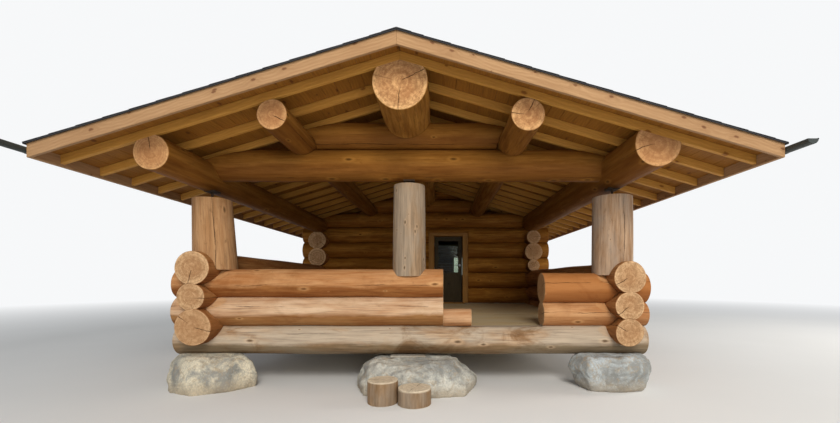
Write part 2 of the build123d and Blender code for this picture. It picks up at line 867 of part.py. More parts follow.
save("front_barge_boards", *barge_boards(roof_start, roof_start + barge_thickness))
save("rear_barge_boards", *barge_boards(roof_end - barge_thickness, roof_end))
fascias = []
for side, eave_x in ((-1, left_eave_x), (1, right_eave_x)):
    fascias.append(sloping(
        side, eave_x - side * fascia_thickness, eave_x, -barge_drop, rafter_depth + barge_drop,
        deck_start, deck_end,
    ))
save("eave_fascias", *fascias)


def gutter(side, eave_x):
    """A half-round trough with closed ends, its back edge against the fascia."""
    x = eave_x + side * (gutter_radius + seat_gap)
    rim = underside(eave_x) + plumb(side, rafter_depth) - gutter_drop
    start = roof_start - gutter_overrun
    length = roof_end - roof_start + 2 * gutter_overrun
    outside = Solid.make_cylinder(gutter_radius, length, Plane((x, start, rim), z_dir=(0, 1, 0)))
    inside = Solid.make_cylinder(
        gutter_radius - gutter_wall, length - 2 * gutter_wall,
        Plane((x, start + gutter_wall, rim), z_dir=(0, 1, 0)),
    )
    open_top = box(
        x - 2 * gutter_radius, x + 2 * gutter_radius, start - gutter_radius, start + length + gutter_radius,
        rim, rim + 2 * gutter_radius,
    )
    return carve(outside - open_top, [inside])


save("left_gutter", gutter(-1, left_eave_x))
save("right_gutter", gutter(1, right_eave_x))
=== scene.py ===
import math
import random

import bmesh
import bpy
import numpy as np
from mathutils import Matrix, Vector, noise


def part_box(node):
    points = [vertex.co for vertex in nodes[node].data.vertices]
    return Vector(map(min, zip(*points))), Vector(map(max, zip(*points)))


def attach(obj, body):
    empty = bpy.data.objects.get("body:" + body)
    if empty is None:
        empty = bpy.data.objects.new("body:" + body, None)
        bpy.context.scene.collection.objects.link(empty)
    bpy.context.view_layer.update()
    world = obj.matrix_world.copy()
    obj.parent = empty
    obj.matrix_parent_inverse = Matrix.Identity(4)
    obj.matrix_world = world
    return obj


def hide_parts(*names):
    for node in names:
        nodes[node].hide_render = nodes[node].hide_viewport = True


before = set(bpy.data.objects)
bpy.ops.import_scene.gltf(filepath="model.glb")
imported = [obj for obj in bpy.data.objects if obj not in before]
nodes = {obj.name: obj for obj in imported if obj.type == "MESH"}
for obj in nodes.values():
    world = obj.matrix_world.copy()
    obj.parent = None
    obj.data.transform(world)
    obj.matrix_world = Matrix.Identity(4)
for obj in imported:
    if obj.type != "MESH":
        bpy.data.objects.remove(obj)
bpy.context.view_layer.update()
scene = bpy.context.scene

# Camera: the photograph's view, level and square to the porch's front
PHOTO_WIDTH = 840
PHOTO_HEIGHT = 423
FOCAL_PIXELS = 387.0
VANISHING_X = 441.0
HORIZON_Y = 279.0
EYE_RIGHT = 0.40
EYE_BACK = 5.30
EYE_HEIGHT = 1.42

# Stage: where the floor fades into the background, and the lamps' place, target, size, power and colour
BACKGROUND = (0.93, 0.94, 0.95)
SKY = 0.43
FADE_START = 9.0
FADE_END = 25.0
FLOOR_REACH = 60
LIGHTS = (
    ("key", (2.0, -17.0, 9.5), (0.0, -2.5, 1.2), 6.0, 1350.0, (1.0, 0.95, 0.88)),
    ("side", (14.0, -3.0, 7.0), (2.0, 0.0, 1.0), 5.0, 600.0, (1.0, 0.95, 0.88)),
    ("low", (4.5, -22.0, 4.5), (0.0, 0.0, 1.5), 7.0, 820.0, (1.0, 0.94, 0.86)),
)

# Round logs, in metres: the unevenness of their sides, the scarfs beside a crossing, the eased rim of an end,
# the gaps above a lower log and below the rafters, and how deep a gable log lies on the next
WOBBLE = 0.006
SCARF_REACH = 0.34
SCARF_DEPTH = 0.042
EDGE = 0.006
SEAT = 0.0015
ROOF_GAP = 0.0008
SCRIBE = 0.025
OVERLAP = 0.02
TYPICAL_RADIUS = 0.2

# How finely round pieces are drawn: the steps along them in metres, and their number of sides
COARSE_STEP = 0.12
LEAST_STEP = 0.0025
CROSSING_REACH = 0.35
NEAR_STEP, NEAR_SIDES = 0.014, 72
FAR_STEP, FAR_SIDES = 0.024, 44
POST_STEP, POST_SIDES = 0.03, 56
STUMP_STEP, STUMP_SIDES = 0.02, 48

# Boards, the roof's layers above the rafters' underside, its shingles and its gutters, in metres
FLOOR_PITCH = 0.142
FLOOR_GAP = 0.005
DECK_PITCH = 0.16
DECK_GAP = 0.0016
RAFTER_DEPTH = 0.09
DECK_THICKNESS = 0.025
SHEET = 0.005
TAB_LENGTH = 0.325
TAB_EXPOSURE = 0.142
TAB_LAP = 0.03
TAB_THICKNESS = 0.0035
TAB_GAP = 0.004
DRIP = 0.012
DRIP_WALL = 0.004
CAP_PITCH = 0.16
CAP_LENGTH = 0.2
GUTTER_WALL = 0.003
STRAP_PITCH = 0.62
STRAP_WIDTH = 0.025
ROLL = 0.007

# Boulders: how far their roughness goes in and out, and how near a sill and the ground it dies out, in metres
ROUGHNESS = 0.017
ROUGH_INSET = 0.005
SILL_CLEAR = 0.05
GROUND_CLEAR = 0.06

MERGE = 2e-5
SMOOTH_ANGLE = math.radians(38)
EASE_ANGLE = math.radians(40)
X_AXIS, Y_AXIS, Z_AXIS = (1, 0, 0), (0, 1, 0), (0, 0, 1)

materials = {}


def make_camera():
    """The photograph's camera, placed from the front sill log."""
    low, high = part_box("front_sill_log")
    data = bpy.data.cameras.new("camera")
    data.sensor_width = 36.0
    data.lens = FOCAL_PIXELS / PHOTO_WIDTH * data.sensor_width
    data.shift_x = -(VANISHING_X - PHOTO_WIDTH / 2) / PHOTO_WIDTH
    data.shift_y = (HORIZON_Y - PHOTO_HEIGHT / 2) / PHOTO_WIDTH
    data.clip_end = 200.0
    camera = bpy.data.objects.new("camera", data)
    camera.location = ((low.x + high.x) / 2 + EYE_RIGHT, (low.y + high.y) / 2 - EYE_BACK, EYE_HEIGHT)
    camera.rotation_euler = (math.pi / 2, 0, 0)
    scene.collection.objects.link(camera)
    scene.camera = camera


class Value:
    """A node's output; arithmetic on it adds the node that does it."""

    def __init__(self, tree, socket):
        self.tree = tree
        self.socket = socket

    def __add__(self, other):
        return self.tree.math("ADD", self, other)

    def __sub__(self, other):
        return self.tree.math("SUBTRACT", self, other)

    def __rsub__(self, other):
        return self.tree.math("SUBTRACT", other, self)

    def __mul__(self, other):
        return self.tree.math("MULTIPLY", self, other)

    def __truediv__(self, other):
        return self.tree.math("DIVIDE", self, other)


class Tree:
    """The nodes of a material or a world; each call adds a node and sets or links what it is given."""

    def __init__(self, owner):
        owner.use_nodes = True
        self.nodes = owner.node_tree.nodes
        self.links = owner.node_tree.links

    def put(self, socket, value):
        if isinstance(value, Value):
            self.links.new(value.socket, socket)
        elif socket.type == "RGBA":
            socket.default_value = (*value, 1.0)
        else:
            socket.default_value = value

    def add(self, kind, *values, settings=None, **inputs):
        """A new node, with values for its first inputs in order and for other inputs by name."""
        node = self.nodes.new(kind)
        for key, value in (settings or {}).items():
            setattr(node, key, value)
        for socket, value in zip(node.inputs, values):
            self.put(socket, value)
        for key, value in inputs.items():
            self.put(node.inputs[key.replace("_", " ")], value)
        return node

    def read(self, output, kind, *values, **rest):
        return Value(self, self.add(kind, *values, **rest).outputs[output])

    def math(self, operation, *values):
        return self.read(0, "ShaderNodeMath", *values, settings={"operation": operation})

    def mix(self, factor, a, b, blend="MIX"):
        settings = {"data_type": "RGBA", "blend_type": blend}
        return self.read("Result", "ShaderNodeMix", settings=settings, Factor=factor, A=a, B=b)

    def span(self, value, low, high, to_low=0.0, to_high=1.0):
        """The value's place between low and high, clamped, as a value between the other two."""
        return self.read(0, "ShaderNodeMapRange", value, low, high, to_low, to_high)

    def layers(self, base, *rows):
        """A base with colours over it; each row is a colour, the value it follows and that value's span."""
        for colour, *limits in rows:
            base = self.mix(self.span(*limits), base, colour)
        return base

    def combine(self, x, y, z):
        return self.read(0, "ShaderNodeCombineXYZ", x, y, z)

    def parts(self, vector):
        return [Value(self, socket) for socket in self.add("ShaderNodeSeparateXYZ", vector).outputs]

    def noise(self, vector, scale, detail=3.0, roughness=0.55, distortion=0.0):
        return self.read(
            "Fac", "ShaderNodeTexNoise", Vector=vector, Scale=scale, Detail=detail, Roughness=roughness,
            Distortion=distortion,
        )

    def cells(self, vector, scale, dimensions):
        """The distance from the nearest cell's heart, and that cell's chance colour."""
        settings = {"feature": "F1", "voronoi_dimensions": dimensions}
        node = self.add("ShaderNodeTexVoronoi", settings=settings, Vector=vector, Scale=scale, Randomness=1.0)
        return Value(self, node.outputs["Distance"]), Value(self, node.outputs["Color"])

    def mark(self, name, output="Fac"):
        """What the mesh carries under a name."""
        return self.read(output, "ShaderNodeAttribute", settings={"attribute_name": name})

    def place(self):
        return self.read("Object", "ShaderNodeTexCoord")

    def knots(self, place, scale, share):
        """Distance from the nearest knot, in sizes of that knot; a given share of the cells has one."""
        distance, chance = self.cells(place, scale, "2D")
        return distance / self.span(chance, 0.68 - 0.36 * share, 0.85 - 0.2 * share, 0.01, 1.0)

    def seen(self):
        """1 for the rays that show the background itself, 0 for the light that it gives."""
        rays = self.add("ShaderNodeLightPath").outputs
        camera, glossy, transmission = (
            Value(self, rays[key]) for key in ("Is Camera Ray", "Is Glossy Ray", "Is Transmission Ray")
        )
        return self.math("MAXIMUM", camera, self.math("MAXIMUM", glossy, transmission))

    def surface(self, **inputs):
        """Sets the shader's own inputs."""
        shader = self.nodes["Principled BSDF"]
        for key, value in inputs.items():
            self.put(shader.inputs[key.replace("_", " ")], value)

    def bump(self, height, strength, distance):
        self.surface(Normal=self.read("Normal", "ShaderNodeBump", Height=height, Strength=strength, Distance=distance))


def new_material(name):
    """The nodes of a new material, which is kept under its name."""
    materials[name] = bpy.data.materials.new(name)
    return Tree(materials[name])


def shade(colour, share):
    """A colour, darkened to a share of its light."""
    return tuple(channel * share for channel in colour)


def round_wood(
    name, light, dark, end_light, end_dark, grey=0.0, grey_colour=(0.42, 0.36, 0.29), flecks=0.5, cracks=1.0,
    stains=0.0, knots=0.6, knot_scale=3.6, below=(0.52, 0.37, 0.21),
):
    """A peeled log: long streaks, knots, cracks and weathering on its side, rings and checks on its ends.

    The mesh carries grain, a point along and across the log in metres, end, 1 on a sawn end, share, the share
    of the radius on an end, scarf, 1 on the flat of a scarf, check and check_two, each the direction and the
    strength of a crack, and for the whole log tint, how dark it is, under, how strongly painted shade darkens
    its underside, and bleach, how far the weather has paled the rest."""
    tree = new_material(name)
    mix, span = tree.mix, tree.span
    grain = tree.mark("grain", "Vector")
    end, share, scarf, tint, under, bleach = (
        tree.mark(key) for key in ("end", "share", "scarf", "tint", "under", "bleach")
    )
    along, across, up = tree.parts(grain)
    radius = tree.math("SQRT", across * across + up * up)
    inner = radius + 0.001
    level = up / inner
    dim = shade(dark, 0.42)
    pale = tuple(min(0.78, channel * 1.3) for channel in light)

    def drawn_out(length, *settings):
        """Noise that is drawn out along the log."""
        return tree.noise(tree.combine(along * length, across, up), *settings)

    # Streaks run almost the log's whole length; broad bands lie between them
    fine = drawn_out(0.05, 44.0, 5.0, 0.62, 0.1)
    streaks = drawn_out(0.08, 16.0, 6.0, 0.66, 0.2)
    broad = drawn_out(0.22, 5.5, 4.0, 0.55)
    patches = drawn_out(0.4, 3.0, 5.0, 0.62, 0.4)
    side = tree.layers(
        light, (dark, streaks, 0.38, 0.62), (dark, broad, 0.38, 0.66, 0.0, 0.5), (pale, patches, 0.3, 0.48, 0.6, 0.0),
        (dim, fine, 0.5, 0.7, 0.0, 0.6), (dim, drawn_out(0.4, 24.0, 5.0, 0.7, 0.4), 0.59, 0.7, 0.0, flecks),
    )
    side = mix(tint * 0.6, side, dark)

    # Weather: bleached and greyed above, brown stains, and a painted shade that darkens the underside towards the
    # below colour, partly also its fresher, more orange wood
    ragged = level + (patches - 0.5) * 0.9
    painted_underside_shade = span(ragged, -0.32, -0.08, 1.0, 0.0) * under
    weather = drawn_out(0.35, 4.2, 5.0, 0.6, 0.3) + level * 0.05
    greyed = mix(span(fine, 0.35, 0.7), grey_colour, shade(grey_colour, 0.6))
    side = tree.layers(side, (greyed, weather, 0.6 - 0.32 * grey, 0.72 - 0.26 * grey, 0.0, grey))
    paled = tree.layers((0.66, 0.49, 0.34), ((0.5, 0.33, 0.2), streaks, 0.4, 0.66), (dim, fine, 0.52, 0.72, 0.0, 0.5))
    side = mix(bleach * span(patches, 0.36, 0.6, 1.0, 0.55), side, paled)
    stained = span(drawn_out(0.6, 2.6, 6.0, 0.66, 0.6), 0.54, 0.66, 0.0, stains)
    side = mix(stained, side, (0.55, 0.42, 0.3), "MULTIPLY")
    side = mix(painted_underside_shade, side, below, "MULTIPLY")

    # Knots of all sizes, each with a dark heart and a pale rim
    girth = tree.math("ARCTAN2", across, up) * radius + drawn_out(0.5, 30.0, 3.0) * 0.02
    knot = tree.knots(tree.combine(along * 0.42, girth, 0.0), knot_scale, knots)
    side = tree.layers(side, (pale, knot, 0.08, 0.17, 0.3, 0.0), (dim, knot, 0.03, 0.09, 0.95, 0.0))
    side = mix(scarf * 0.5, side, light)

    # Cracks from the heart outwards, seen as a broken line along the side and a ray across the end
    drift = (drawn_out(0.3, 5.0, 4.0, 0.6) - 0.5) * 0.07 + (drawn_out(1.0, 13.0, 4.0, 0.7) - 0.5) * 0.014
    crack = 0.0
    for key, on_side, on_end in (("check", cracks, 1.0), ("check_two", 0.7 * cracks, 0.8)):
        way_across, way_up, strength = tree.parts(tree.mark(key, "Vector"))
        beside = tree.math("ABSOLUTE", across * way_up - up * way_across + drift)
        outward = across * way_across + up * way_up
        reach = span(outward * strength, 0.01, 0.05)
        facing = span(outward / inner, 0.3, 0.6)
        place = tree.combine(along, way_across, way_up)
        width = span(tree.noise(place, 3.0, 4.0, 0.7), 0.35, 0.65, 0.0016, 0.0062)
        opened = tree.noise(place, 1.7, 4.0, 0.65) + strength * 0.2
        seam = span(beside, width * 0.35, width, 1.0, 0.0) * (facing * span(opened, 0.6, 0.66, 0.0, on_side))
        ray = span(beside, 0.0016, 0.0045, 1.0, 0.0) * span(outward, 0.0, 0.02) * reach * on_end
        crack = tree.math("MAXIMUM", ray * end + seam * (1.0 - end), crack)

    # Ends: growth rings, a reddish heart, a pale rim, short rays and dirt
    warp = tree.noise(grain, 7.0, 3.0)
    ring_depth = span(tree.noise(grain, 9.0, 3.0), 0.3, 0.7, 0.15, 0.8)
    rings = span(tree.math("SINE", radius * 820.0 + warp * 34.0), -1.0, 1.0) * ring_depth
    ends = mix(rings, end_light, end_dark)
    shifted = share + (warp - 0.5) * 0.35
    heart = span(tree.noise(grain, 4.0, 2.0), 0.35, 0.65, 0.35, 0.9)
    ends = mix(span(shifted, 0.5, 0.88, 1.0, 0.0) * heart, ends, end_dark)
    bands = tree.noise(tree.combine(share, along, warp * 0.6), 6.5, 4.0, 0.7)
    ends = tree.layers(
        ends, (end_light, shifted, 0.87, 0.92, 0.0, 0.75), (shade(end_dark, 0.8), bands, 0.44, 0.6, 0.0, 0.6),
        (end_light, bands, 0.32, 0.44, 0.5, 0.0),
    )
    rays = tree.noise(tree.combine(across / inner, level, along), 8.0, 4.0, 0.75)
    ends = mix(span(rays, 0.58, 0.68, 0.0, 0.55) * span(share, 0.1, 0.4), ends, dim)
    blotch = tree.noise(grain, 26.0, 7.0, 0.78)
    ends = tree.layers(
        ends, (shade(end_dark, 0.66), blotch, 0.47, 0.62, 0.0, 0.7), (end_light, blotch, 0.3, 0.44, 0.5, 0.0),
    )
    ends = mix(tint * 0.45, ends, end_dark)
    colour = mix(crack, mix(end, side, ends), shade(dark, 0.14))
    tree.surface(Base_Color=colour, Roughness=span(streaks, 0.2, 0.8, 0.5, 0.8), Specular_IOR_Level=0.15)
    tree.bump(fine * 0.7 + streaks - crack * 1.6, 0.8, 0.005)


def sawn_wood(
    name, light, dark, knot_scale=4.5, grey=0.0, grey_colour=(0.42, 0.37, 0.3), roughness=0.62, knot_share=0.5,
):
    """A sawn board: long flowing grain lines, streaks and knots."""
    tree = new_material(name)
    mix, span = tree.mix, tree.span
    grain = tree.mark("grain", "Vector")
    along, across, up = tree.parts(grain)
    depth = across + up
    drawn_out = tree.combine(along * 0.5, across, up)
    ragged = tree.noise(grain, 34.0, 3.0) * 0.024
    knots = tree.knots(tree.combine(along * 0.5, depth + ragged, 0.0), knot_scale, knot_share)
    knot = span(knots, 0.05, 0.1, 1.0, 0.0)
    halo = span(knots, 0.06, 0.35, 1.0, 0.0)
    lines = depth * 190.0 + tree.noise(drawn_out, 3.0, 3.0) * 38.0 + halo * 7.0
    figure = span(tree.math("SINE", lines), -1.0, 1.0)
    streaks = tree.noise(tree.combine(along * 0.9, across * 14.0, up * 14.0), 3.2, 5.0, 0.6)
    broad = tree.noise(drawn_out, 2.1, 3.0)
    side = mix(figure * 0.35, light, dark)
    side = mix(span(streaks, 0.35, 0.7) * 0.55, side, dark)
    side = mix(span(broad, 0.4, 0.7) * 0.4, side, dark)
    side = mix(halo * 0.35, side, dark)
    side = mix(knot * 0.8, side, (dark[0] * 0.45, dark[1] * 0.3, dark[2] * 0.25))
    side = mix(span(broad, 0.6 - 0.4 * grey, 0.75 - 0.3 * grey) * grey, side, grey_colour)
    colour = mix(tree.mark("end") * 0.45, side, shade(dark, 0.6))
    tree.surface(Base_Color=colour, Roughness=roughness, Specular_IOR_Level=0.3)
    tree.bump(figure + streaks, 0.35, 0.0015)


def stone(name, cream, grey, dark, stain):
    """Rough field stone; the mesh's tint runs from cream to grey."""
    tree = new_material(name)
    place = tree.mark("grain", "Vector")
    grains = tree.noise(place, 46.0, 6.0, 0.75)
    patches = tree.noise(place, 3.6, 6.0, 0.66, 0.5)
    veins = tree.noise(place, 7.0, 8.0, 0.75, 1.4)
    pits = tree.cells(place, 42.0, "3D")[0]
    height = tree.parts(place)[2] + (veins - 0.5) * 0.6
    colour = tree.layers(
        tree.mix(tree.mark("tint"), cream, grey), (dark, patches, 0.44, 0.58, 0.0, 0.9),
        (stain, height, 0.04, 0.16, 0.6, 0.0), (stain, veins, 0.52, 0.6, 0.0, 0.6),
        (dark, grains, 0.45, 0.7, 0.0, 0.7), ((0.82, 0.81, 0.76), grains, 0.25, 0.42, 0.6, 0.0),
    )
    tree.surface(Base_Color=colour, Roughness=0.9, Specular_IOR_Level=0.25)
    tree.bump(grains * 0.7 + tree.span(pits, 0.0, 0.4) * 0.4 + veins * 2.2, 0.8, 0.014)


def metal(name, colour, roughness, metallic=1.0):
    """Metal with duller, darker patches."""
    tree = new_material(name)
    dull = tree.noise(tree.place(), 22.0, 4.0)
    worn = tree.layers(colour, (shade(colour, 0.6), dull, 0.35, 0.75, 0.0, 0.5))
    rough = tree.span(dull, 0.3, 0.7, roughness, roughness + 0.15)
    tree.surface(Base_Color=worn, Roughness=rough, Metallic=metallic)


def felt(name):
    """Mineral-faced shingles: dark grit, each tab a little lighter or darker."""
    tree = new_material(name)
    place = tree.place()
    grit = tree.noise(place, 420.0, 3.0, 0.8)
    patches = tree.noise(place, 3.0, 4.0)
    colour = tree.layers((0.012, 0.012, 0.014), ((0.05, 0.05, 0.055), grit, 0.35, 0.7))
    colour = tree.mix(tree.mark("tint") * 0.8, colour, (0.07, 0.069, 0.068))
    colour = tree.mix(tree.span(patches, 0.45, 0.75) * 0.25, colour, (0.07, 0.07, 0.065))
    tree.surface(Base_Color=colour, Roughness=0.92)
    tree.bump(grit, 0.6, 0.002)


def pane(name):
    """A tinted pane with a faint film on it."""
    tree = new_material(name)
    film = tree.noise(tree.place(), 3.0, 3.0)
    colour = tree.layers((0.52, 0.58, 0.5), ((0.46, 0.52, 0.44), film, 0.4, 0.7))
    tree.surface(Base_Color=colour, Roughness=0.03, Transmission_Weight=1.0, IOR=1.2)


def points_of(mesh):
    """A mesh's points, one row each."""
    return np.array([tuple(vertex.co) for vertex in mesh.vertices])


def turned(faces):
    """The faces, each with its other side out."""
    return [tuple(reversed(face)) for face in faces]


def prism(count):
    """The faces of a prism with this many sides: both ends, then the sides."""
    sides = [(i, (i + 1) % count, count + (i + 1) % count, count + i) for i in range(count)]
    return [tuple(reversed(range(count))), tuple(range(count, 2 * count)), *sides]


def joined(count, chains):
    """Groups of the numbers below count that the chains join."""
    group = list(range(count))

    def root(index):
        while group[index] != index:
            group[index] = group[group[index]]
            index = group[index]
        return index

    for chain in chains:
        first = root(chain[0])
        for index in chain[1:]:
            group[root(index)] = first
    found = {}
    for index in range(count):
        found.setdefault(root(index), []).append(index)
    return list(found.values())


def solids(node):
    """The boxes of a node's separate solids, lowest first."""
    mesh = nodes[node].data
    points = points_of(mesh)
    chains = [tuple(edge.vertices) for edge in mesh.edges]
    first_at = {}
    for vertex in mesh.vertices:
        key = tuple(round(c, 5) for c in vertex.co)
        chains.append((first_at.setdefault(key, vertex.index), vertex.index))
    boxes = []
    for group in joined(len(points), chains):
        boxes.append((Vector(points[group].min(0)), Vector(points[group].max(0))))
    return sorted(boxes, key=lambda box: box[0].z + box[1].z)


def roof_edges():
    """For each side of the roof: the peak's place, and the height and slope of the rafters' underside."""
    lines = {}
    for side, name in ((-1, "left_rafters"), (1, "right_rafters")):
        points = points_of(nodes[name].data)
        outward = points[:, 0] * side
        tail = points[outward > outward.max() - 0.001]
        peak = points[outward < outward.min() + 0.001]
        x_tail, z_tail = tail[0, 0], tail[:, 2].min()
        x_peak, z_peak = peak[0, 0], peak[:, 2].min()
        lines[side] = (x_peak, z_peak, (z_peak - z_tail) / abs(x_tail - x_peak))
    return lines


ROOF = roof_edges()
RIDGE_X = (ROOF[-1][0] + ROOF[1][0]) / 2


def underside(x):
    """Height of the rafters' underside over the given places."""
    left = ROOF[-1][1] - ROOF[-1][2] * (RIDGE_X - x)
    right = ROOF[1][1] - ROOF[1][2] * (x - RIDGE_X)
    return np.minimum(left, right)


def wobble(place, turn, seed):
    """A slow, natural unevenness of a log's radius, in metres, at a place along it and an angle round it."""
    chance = random.Random(seed)
    total = 0.0
    for waves, swing in ((1, 0.35), (2, 0.5), (3, 0.35), (5, 0.18)):
        length = chance.uniform(0.7, 2.6)
        phase = chance.uniform(0, math.tau)
        turn_phase = chance.uniform(0, math.tau)
        total = total + swing * np.sin(math.tau * place / length + phase) * np.cos(waves * turn + turn_phase)
    return total * WOBBLE


class Log:
    """A round log along X or Y, read from the box of its CAD solid."""

    def __init__(self, node, box, along, anchor, seed):
        low, high = box
        flat = 1 if along == "X" else 0
        self.node = node
        self.along = along
        self.start, self.end = (low.x, high.x) if along == "X" else (low.y, high.y)
        self.across = (low[flat] + high[flat]) / 2
        self.radius = (high[flat] - low[flat]) / 2
        self.height = high.z - self.radius if anchor == "top" else low.z + self.radius
        self.seed = seed
        self.scarfs = []
        self.trims = []
        self.extra = []
        self.lower = []
        self.marks = {}

    def round_surface(self, place, turn):
        return self.radius + wobble(place, turn, self.seed)

    def surface(self, place, turn):
        """Radius at a place along the log and an angle round it, with the scarfs beside each crossing."""
        radius = self.round_surface(place, turn)
        for middle in self.scarfs:
            depth = SCARF_DEPTH * np.maximum(0.0, 1.0 - ((place - middle) / SCARF_REACH) ** 2)
            for normal in (math.pi / 4, 3 * math.pi / 4):
                facing = np.cos(turn - normal)
                limit = (self.radius - depth) / np.maximum(facing, 0.3)
                radius = np.where((depth > 0) & (facing > 0.3), np.minimum(radius, limit), radius)
        return radius

    def crest(self, place, offset):
        """Height of the log's upper surface above a point beside its centre line, and where there is any."""
        inside = np.abs(offset) < self.radius
        rise = np.sqrt(np.maximum(self.radius**2 - offset**2, 0.0))
        radius = self.surface(place, np.arctan2(rise, offset))
        rise = np.sqrt(np.maximum(radius**2 - offset**2, 0.0))
        return self.height + rise, inside & (place > self.start - 0.02) & (place < self.end + 0.02)


def seat(points, lower):
    """Lifts the points that lie inside a lower log onto its surface."""
    for log in lower:
        place, offset = (points[..., 0], points[..., 1]) if log.along == "X" else (points[..., 1], points[..., 0])
        top, over = log.crest(place, offset - log.across)
        sunk = over & (points[..., 2] < top + SEAT) & (points[..., 2] > log.height - log.radius)
        points[..., 2] = np.where(sunk, top + SEAT, points[..., 2])
    return points


def spread(start, end, crossings, extra, fine):
    """Places along a log: close together beside its crossings, further apart elsewhere."""
    places = list(np.linspace(start, end, max(3, int((end - start) / COARSE_STEP))))
    for middle in crossings:
        places += list(np.arange(middle - CROSSING_REACH, middle + CROSSING_REACH, fine))
    for middle in extra:
        places += [middle - 0.0015, middle + 0.0015]
    places += [start + EDGE, end - EDGE]
    places = sorted(place for place in places if start + EDGE - 1e-6 <= place <= end - EDGE + 1e-6)
    kept = [places[0]]
    for place in places[1:]:
        if place - kept[-1] > LEAST_STEP:
            kept.append(place)
    return np.array(kept)


def tube(places, start, end, ring_of, shape, steps, seed, edge=EDGE):
    """A closed tube with sawn ends: its points and faces, and what it carries for its material.

    ring_of gives radii at places and turns; shape puts (place, across, up) arrays into the model's frame."""
    turns = np.linspace(0, math.tau, steps, endpoint=False)
    rings = (1.0 - edge / TYPICAL_RADIUS, 0.93, 0.8, 0.62, 0.42, 0.2)
    rows = [(start, share, 1.0) for share in reversed(rings)]
    rows += [(place, 1.0, 0.0) for place in places]
    rows += [(end, share, 1.0) for share in rings]
    count = len(rows)
    rows = np.array(rows)
    place = rows[:, :1] + np.zeros(steps)
    radius = ring_of(np.clip(place, start + edge, end - edge), turns[None, :]) * rows[:, 1:2]
    across = radius * np.cos(turns)
    up = radius * np.sin(turns)
    middles = shape(np.array([start, end]), np.zeros(2), np.zeros(2))
    points = np.vstack([shape(place, across, up).reshape(-1, 3), middles])
    grain = np.vstack([np.stack([place, across, up], axis=-1).reshape(-1, 3), (start, 0, 0), (end, 0, 0)])
    faces = []
    for row in range(count - 1):
        near, far = row * steps, (row + 1) * steps
        for step in range(steps):
            following = (step + 1) % steps
            faces.append((near + step, near + following, far + following, far + step))
    tips = count * steps
    last = tips - steps
    for step in range(steps):
        following = (step + 1) % steps
        faces.append((tips, following, step))
        faces.append((tips + 1, last + step, last + following))
    chance = random.Random(seed)
    grain[:, 0] += chance.uniform(0, 40)
    angle, other = chance.uniform(0, math.tau), chance.uniform(0, math.tau)
    marks = {
        "grain": grain,
        "end": np.append(np.repeat(rows[:, 2], steps), [1.0, 1.0]),
        "share": np.append(np.repeat(rows[:, 1], steps), [0.0, 0.0]),
        "check": (math.cos(angle), math.sin(angle), chance.uniform(0.2, 1.0)),
        "check_two": (math.cos(other), math.sin(other), chance.uniform(0.0, 1.0)),
    }
    return points, faces, marks


def present(piece, node, body, slot):
    """Shows a piece in place of its CAD node and rides it on its body."""
    piece.data.materials.append(materials[slot])
    scene.collection.objects.link(piece)
    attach(piece, body)
    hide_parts(node)


class Body:
    """Collects the meshes that make one visual piece, with what each point carries for the material."""

    MARKS = {
        "grain": (0, 0, 0), "end": 0.0, "share": 1.0, "scarf": 0.0, "check": (1, 0, 0), "check_two": (1, 0, 0),
        "tint": 0.0, "under": 0.0, "bleach": 0.0,
    }

    def __init__(self):
        self.points = []
        self.faces = []
        self.flat = []
        self.marks = {key: [] for key in self.MARKS}

    def add(self, points, faces, flat=False, **marks):
        base = sum(len(part) for part in self.points)
        points = np.asarray(points, dtype=float)
        self.points.append(points)
        self.faces += [tuple(base + index for index in face) for face in faces]
        self.flat += [flat] * len(faces)
        for key, value in {**self.MARKS, "grain": points, **marks}.items():
            shape = (len(points), 3) if np.ndim(self.MARKS[key]) else (len(points),)
            self.marks[key].append(np.broadcast_to(np.asarray(value, dtype=float), shape))

    def make(self, node, slot):
        mesh = bpy.data.meshes.new("visual_" + node)
        mesh.from_pydata([tuple(point) for point in np.vstack(self.points)], [], self.faces)
        for key, parts in self.marks.items():
            values = np.concatenate(parts)
            kind, field = ("FLOAT_VECTOR", "vector") if values.ndim == 2 else ("FLOAT", "value")
            attribute = mesh.attributes.new(key, kind, "POINT")
            attribute.data.foreach_set(field, values.astype(np.float32).ravel())
        mesh.polygons.foreach_set("use_smooth", [not flat for flat in self.flat])
        mesh.update()
        mesh.set_sharp_from_angle(angle=SMOOTH_ANGLE)
        present(bpy.data.objects.new("visual_" + node, mesh), node, "cabin", slot)


# Every log of the building: its direction, the side of its CAD box that shows its full round, and its wood
LOGS = {node: look for *look, group in (
    ("X", "bottom", "sill_wood", ("front_sill_log", "cabin_sill_log", "rear_sill_log")),
    ("X", "top", "rail_wood", ("left_front_rails", "right_front_rails", "entry_log")),
    ("Y", "top", "side_log_wood", ("left_side_logs", "right_side_logs")),
    ("Y", "bottom", "roof_log_wood", ("left_plate_log", "right_plate_log")),
    ("X", "top", "roof_log_wood", ("front_tie_beam",)),
    ("Y", "bottom", "roof_log_wood", ("purlin_logs",)),
    ("X", "top", "roof_log_wood", ("front_upper_tie",)),
    ("Y", "bottom", "roof_log_wood", ("ridge_log",)),
    ("X", "top", "cabin_wall_wood", ("cabin_wall_left_of_door", "cabin_wall_right_of_door", "cabin_gable_logs")),
    ("X", "top", "side_log_wood", ("rear_wall_logs", "rear_gable_logs")),
) for node in group}
GABLES = ("cabin_gable_logs", "rear_gable_logs")
FRONT_LOGS = ("front_sill_log", "left_front_rails", "right_front_rails", "left_side_logs", "right_side_logs")
UNDER_ROOF = tuple(node for node, look in LOGS.items() if look[2] == "roof_log_wood") + GABLES

